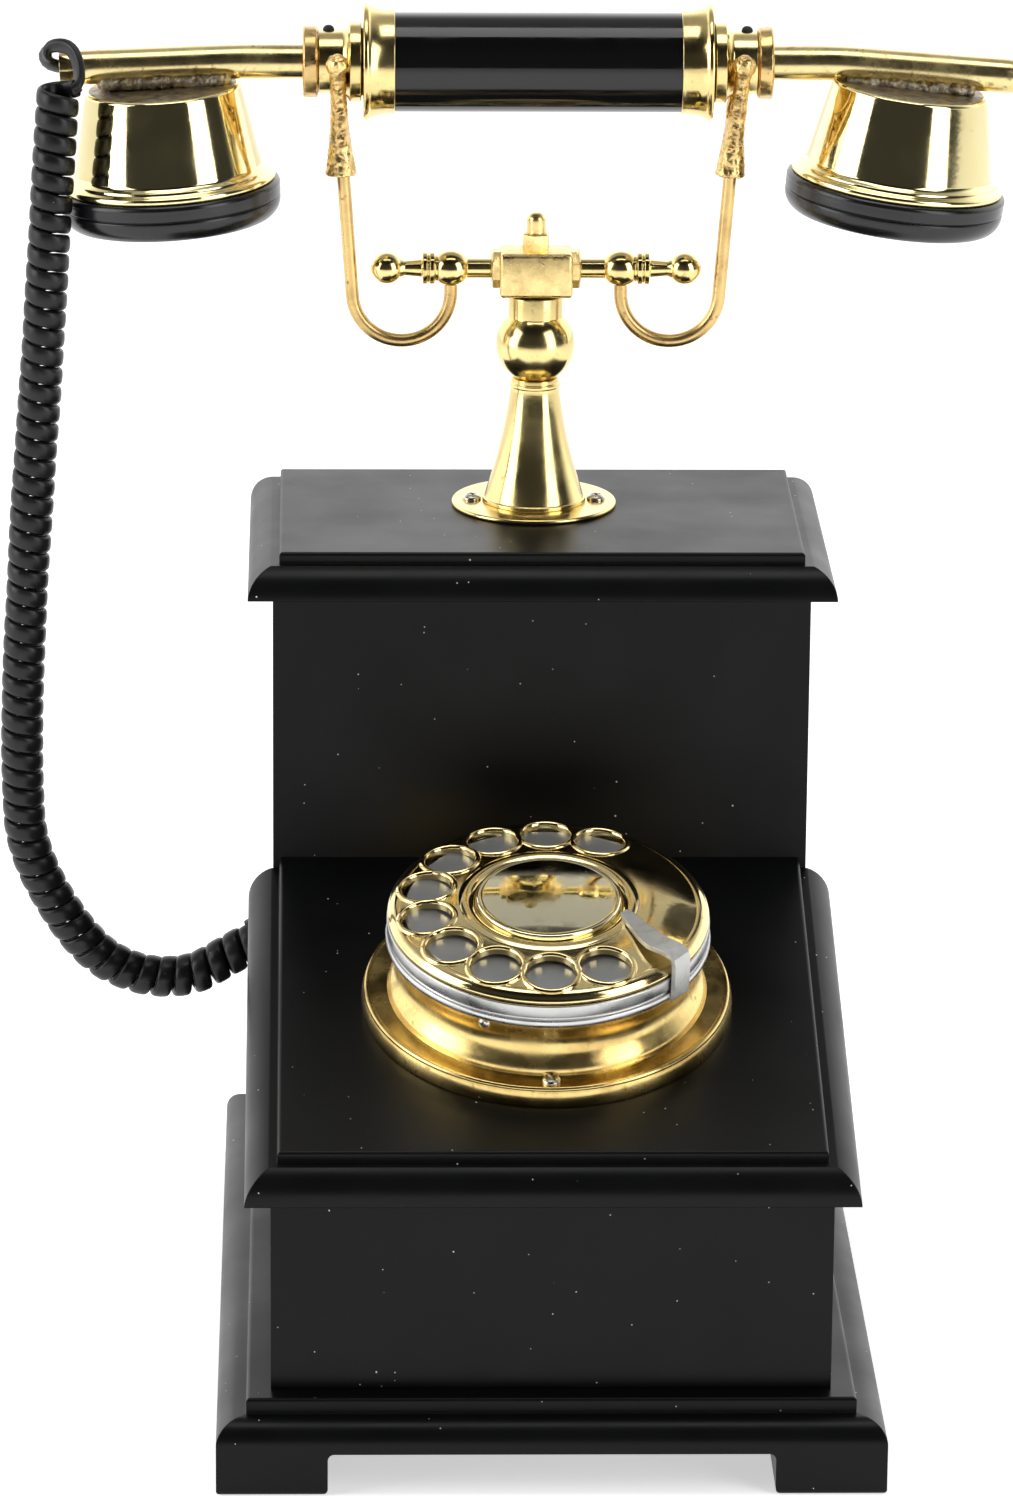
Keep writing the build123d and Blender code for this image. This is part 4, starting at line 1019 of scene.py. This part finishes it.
def make_plate():
    """Grey plate seen through the finger holes."""
    points = outline([(4.0, PLATE_TOP - 1), (32.6, PLATE_TOP - 1), (32.6, MOUNT_TOP), (34.0, MOUNT_TOP),
                      (34.0, PLATE_TOP - 0.5), (33.5, PLATE_TOP), (4.0, PLATE_TOP)], 0.1)
    piece(dial_turned("plate_under_wheel", points), "plate_grey", "base", "grey_metal", "number_plate")


def make_wheel():
    """Rolled-edge wheel with ten rolled-rim holes and a bead round its middle."""
    top = WHEEL_TOP
    body = dial_turned("wheel_pressed", outline([
        (3.0, top - 1.3), (30.0, top - 1.4), (35.5, top - 1.9), (36.6, top - 2.4), (36.6, WHEEL_LOW),
        (37.6, WHEEL_LOW), ((38.0, WHEEL_LOW + 1.0), (37.7, top - 2.7)),
        ((36.9, top - 1.8), (35.0, top - 1.35)), ((28.5, top - 0.2), (21.3, top + 0.3)),
        ((19.4, top + 0.75), (17.6, top - 0.1)), (17.4, top - 0.5), (3.0, top - 0.5)], 0.1, steps=14), 288)
    drills, rims = [], []
    for k in range(10):
        turn = DIAL @ Matrix.Rotation(math.radians(FIRST_HOLE + k * HOLE_STEP), 4, "Z")
        place = turn @ Matrix.Translation((HOLE_RING_R, 0, 0))
        drill_r, low, high = HOLE_R + 0.45, WHEEL_LOW - 1, top + 2
        drills.append(lathe("drill", [(0, low), (drill_r, low), (drill_r, high), (0, high)], place, 64,
                            closed=False))
        rim = outline([(HOLE_R - 0.1, -1.7), (HOLE_R - 0.1, -0.5), ((HOLE_R + 0.15, 0.15), (HOLE_R + 0.6, 0.4)),
                       ((HOLE_R + 1.0, 0.25), (HOLE_R + 1.35, -0.05)), (HOLE_R + 1.35, -0.4),
                       (HOLE_R + 0.6, -1.7)], steps=12)
        lean = Matrix.Rotation(math.radians(RIM_LEAN), 4, "Y")
        leaning = place @ Matrix.Translation((0, 0, top - 0.35)) @ lean
        rims.append(lathe(f"rim_{k}", rim, leaning, 96))
    cut(body, drills)
    piece(joined("finger_wheel_pressed", [body, *rims]), "wheel_brass", "dial_wheel", "brass", "finger_wheel")


def make_centre_disc():
    """Slightly domed mirror disc in the wheel's middle."""
    points = outline([(0, WHEEL_TOP - 0.4), (17.1, WHEEL_TOP - 0.4), (17.1, WHEEL_TOP + 0.9),
                      ((16.9, WHEEL_TOP + 1.3), (16.3, WHEEL_TOP + 1.4)),
                      ((8.0, WHEEL_TOP + 1.62), (0, WHEEL_TOP + 1.7))], closed=False, steps=20)
    mirror = lathe("centre_mirror", points, DIAL, 192, closed=False)
    piece(mirror, "mirror_disc", "dial_wheel", "mirror_disc", "centre_disc")


def make_finger_stop():
    """Bent strip: a foot through the band, a leg outside it and an arm curving in over the wheel.

    A station is its distance from the dial's middle, its height and the strip's two edges.
    """
    leg = [(34.8, 19.0), (38.4, 19.0), (39.0, 19.3), (39.15, 20.0), (39.15, 28.3), (38.8, 29.7), (37.6, 30.5),
           (35.5, 30.7)]
    stations = [(out, high, -2.8, 2.8) for out, high in leg]
    stations += [(33.0, 30.6, -2.8, 2.9), (31.0, 30.5, -2.6, 3.2), (28.0, 30.4, -1.4, 4.0),
                 (25.5, 30.3, 0.0, 4.8), (22.0, 30.25, 2.0, 6.0), (19.2, 30.2, 3.6, 6.9),
                 (17.9, 30.2, 4.6, 6.5)]
    bm = bmesh.new()
    rings = []
    for k, (out, high, low_y, high_y) in enumerate(stations):
        before, after = stations[max(k - 1, 0)], stations[min(k + 1, len(stations) - 1)]
        along = Vector((after[0] - before[0], after[1] - before[1])).normalized()
        half = Vector((-along.y, along.x)) * 0.6
        rings.append([bm.verts.new((out + s * half.x, y, high + s * half.y))
                      for s, y in ((1, low_y), (1, high_y), (-1, high_y), (-1, low_y))])
    skin(bm, rings)
    place = DIAL @ Matrix.Rotation(math.radians(STOP_ANGLE), 4, "Z")
    piece(new_object("finger_stop_bent", bm, place), "grey_metal", "base", "grey_metal", "finger_stop")


PAINTS["mount_brass"] = brass("mount_brass", (0.80, 0.60, 0.23), 0.16, 0.34, (0.38, 0.22, 0.06), 0.85)
PAINTS["wheel_brass"] = brass("wheel_brass", (0.90, 0.73, 0.36), 0.06, 0.15, (0.52, 0.33, 0.11), 0.55)
make_mount()
make_band()
make_plate()
make_wheel()
make_centre_disc()
make_finger_stop()


# ---------------------------------------------------------------- stage
def area_light(name, place, look_at, size, power):
    """White soft box at a place, facing another, in metres and watts."""
    data = bpy.data.lights.new(name, "AREA")
    data.shape = "RECTANGLE"
    data.size, data.size_y = size
    data.energy = power
    light = bpy.data.objects.new(name, data)
    light.location = place
    light.rotation_mode = "QUATERNION"
    light.rotation_quaternion = (Vector(look_at) - Vector(place)).to_track_quat("-Z", "Y")
    bpy.context.scene.collection.objects.link(light)


def studio_world():
    """White wall behind that dims round both sides, almost black in front, and darker overhead."""
    world = bpy.data.worlds.new("studio")
    world.use_nodes = True
    nodes, links = world.node_tree.nodes, world.node_tree.links
    split = nodes.new("ShaderNodeSeparateXYZ")
    links.new(nodes.new("ShaderNodeTexCoord").outputs["Generated"], split.inputs["Vector"])

    def ramp(value, low, high, out_low, out_high):
        node = nodes.new("ShaderNodeMapRange")
        node.interpolation_type = "SMOOTHSTEP"
        for key, number in (("From Min", low), ("From Max", high), ("To Min", out_low), ("To Max", out_high)):
            node.inputs[key].default_value = number
        links.new(value, node.inputs["Value"])
        return node.outputs["Result"]

    def combined(operation, a, b):
        node = nodes.new("ShaderNodeMath")
        node.operation = operation
        for socket, value in zip(node.inputs, (a, b)):
            if isinstance(value, float):
                socket.default_value = value
            else:
                links.new(value, socket)
        return node.outputs[0]

    around = combined("SUBTRACT", split.outputs["Y"], combined("MULTIPLY", split.outputs["X"], 0.2))
    walls = ramp(around, -0.32, 0.25, 0.04, 1.65)
    overhead = ramp(split.outputs["Z"], 0.40, 0.80, 1.0, 0.25)
    nodes["Background"].inputs["Color"].default_value = (1, 1, 1, 1)
    links.new(combined("MULTIPLY", walls, overhead), nodes["Background"].inputs["Strength"])
    return world


FLOOR_REACH = 7000


def make_stage():
    """Pale paper floor, the studio's walls and three soft boxes."""
    bm = bmesh.new()
    bmesh.ops.create_grid(bm, x_segments=1, y_segments=1, size=1.0,
                          matrix=Matrix.Diagonal((FLOOR_REACH, FLOOR_REACH, 1, 1)))
    floor = new_object("floor", bm)
    paper = Paint("floor_paper", (0.93, 0.93, 0.93), roughness=0.9)
    paper.shader.inputs["Emission Color"].default_value = (1, 1, 1, 1)
    paper.shader.inputs["Emission Strength"].default_value = 0.55
    paper.shader.inputs["Specular IOR Level"].default_value = 0.1
    floor.data.materials.append(paper.material)
    bpy.context.scene.world = studio_world()
    area_light("box_left", (-1.45, -0.45, 0.75), (0, 0, 0.25), (0.9, 1.3), 12)
    area_light("box_right", (1.20, -1.05, 0.80), (0, 0, 0.25), (0.8, 1.5), 12)
    area_light("box_top", (0, -0.1, 2.4), (0, 0.1, 0), (1.6, 1.0), 14)
    bpy.context.scene.view_settings.view_transform = "Standard"


make_stage()
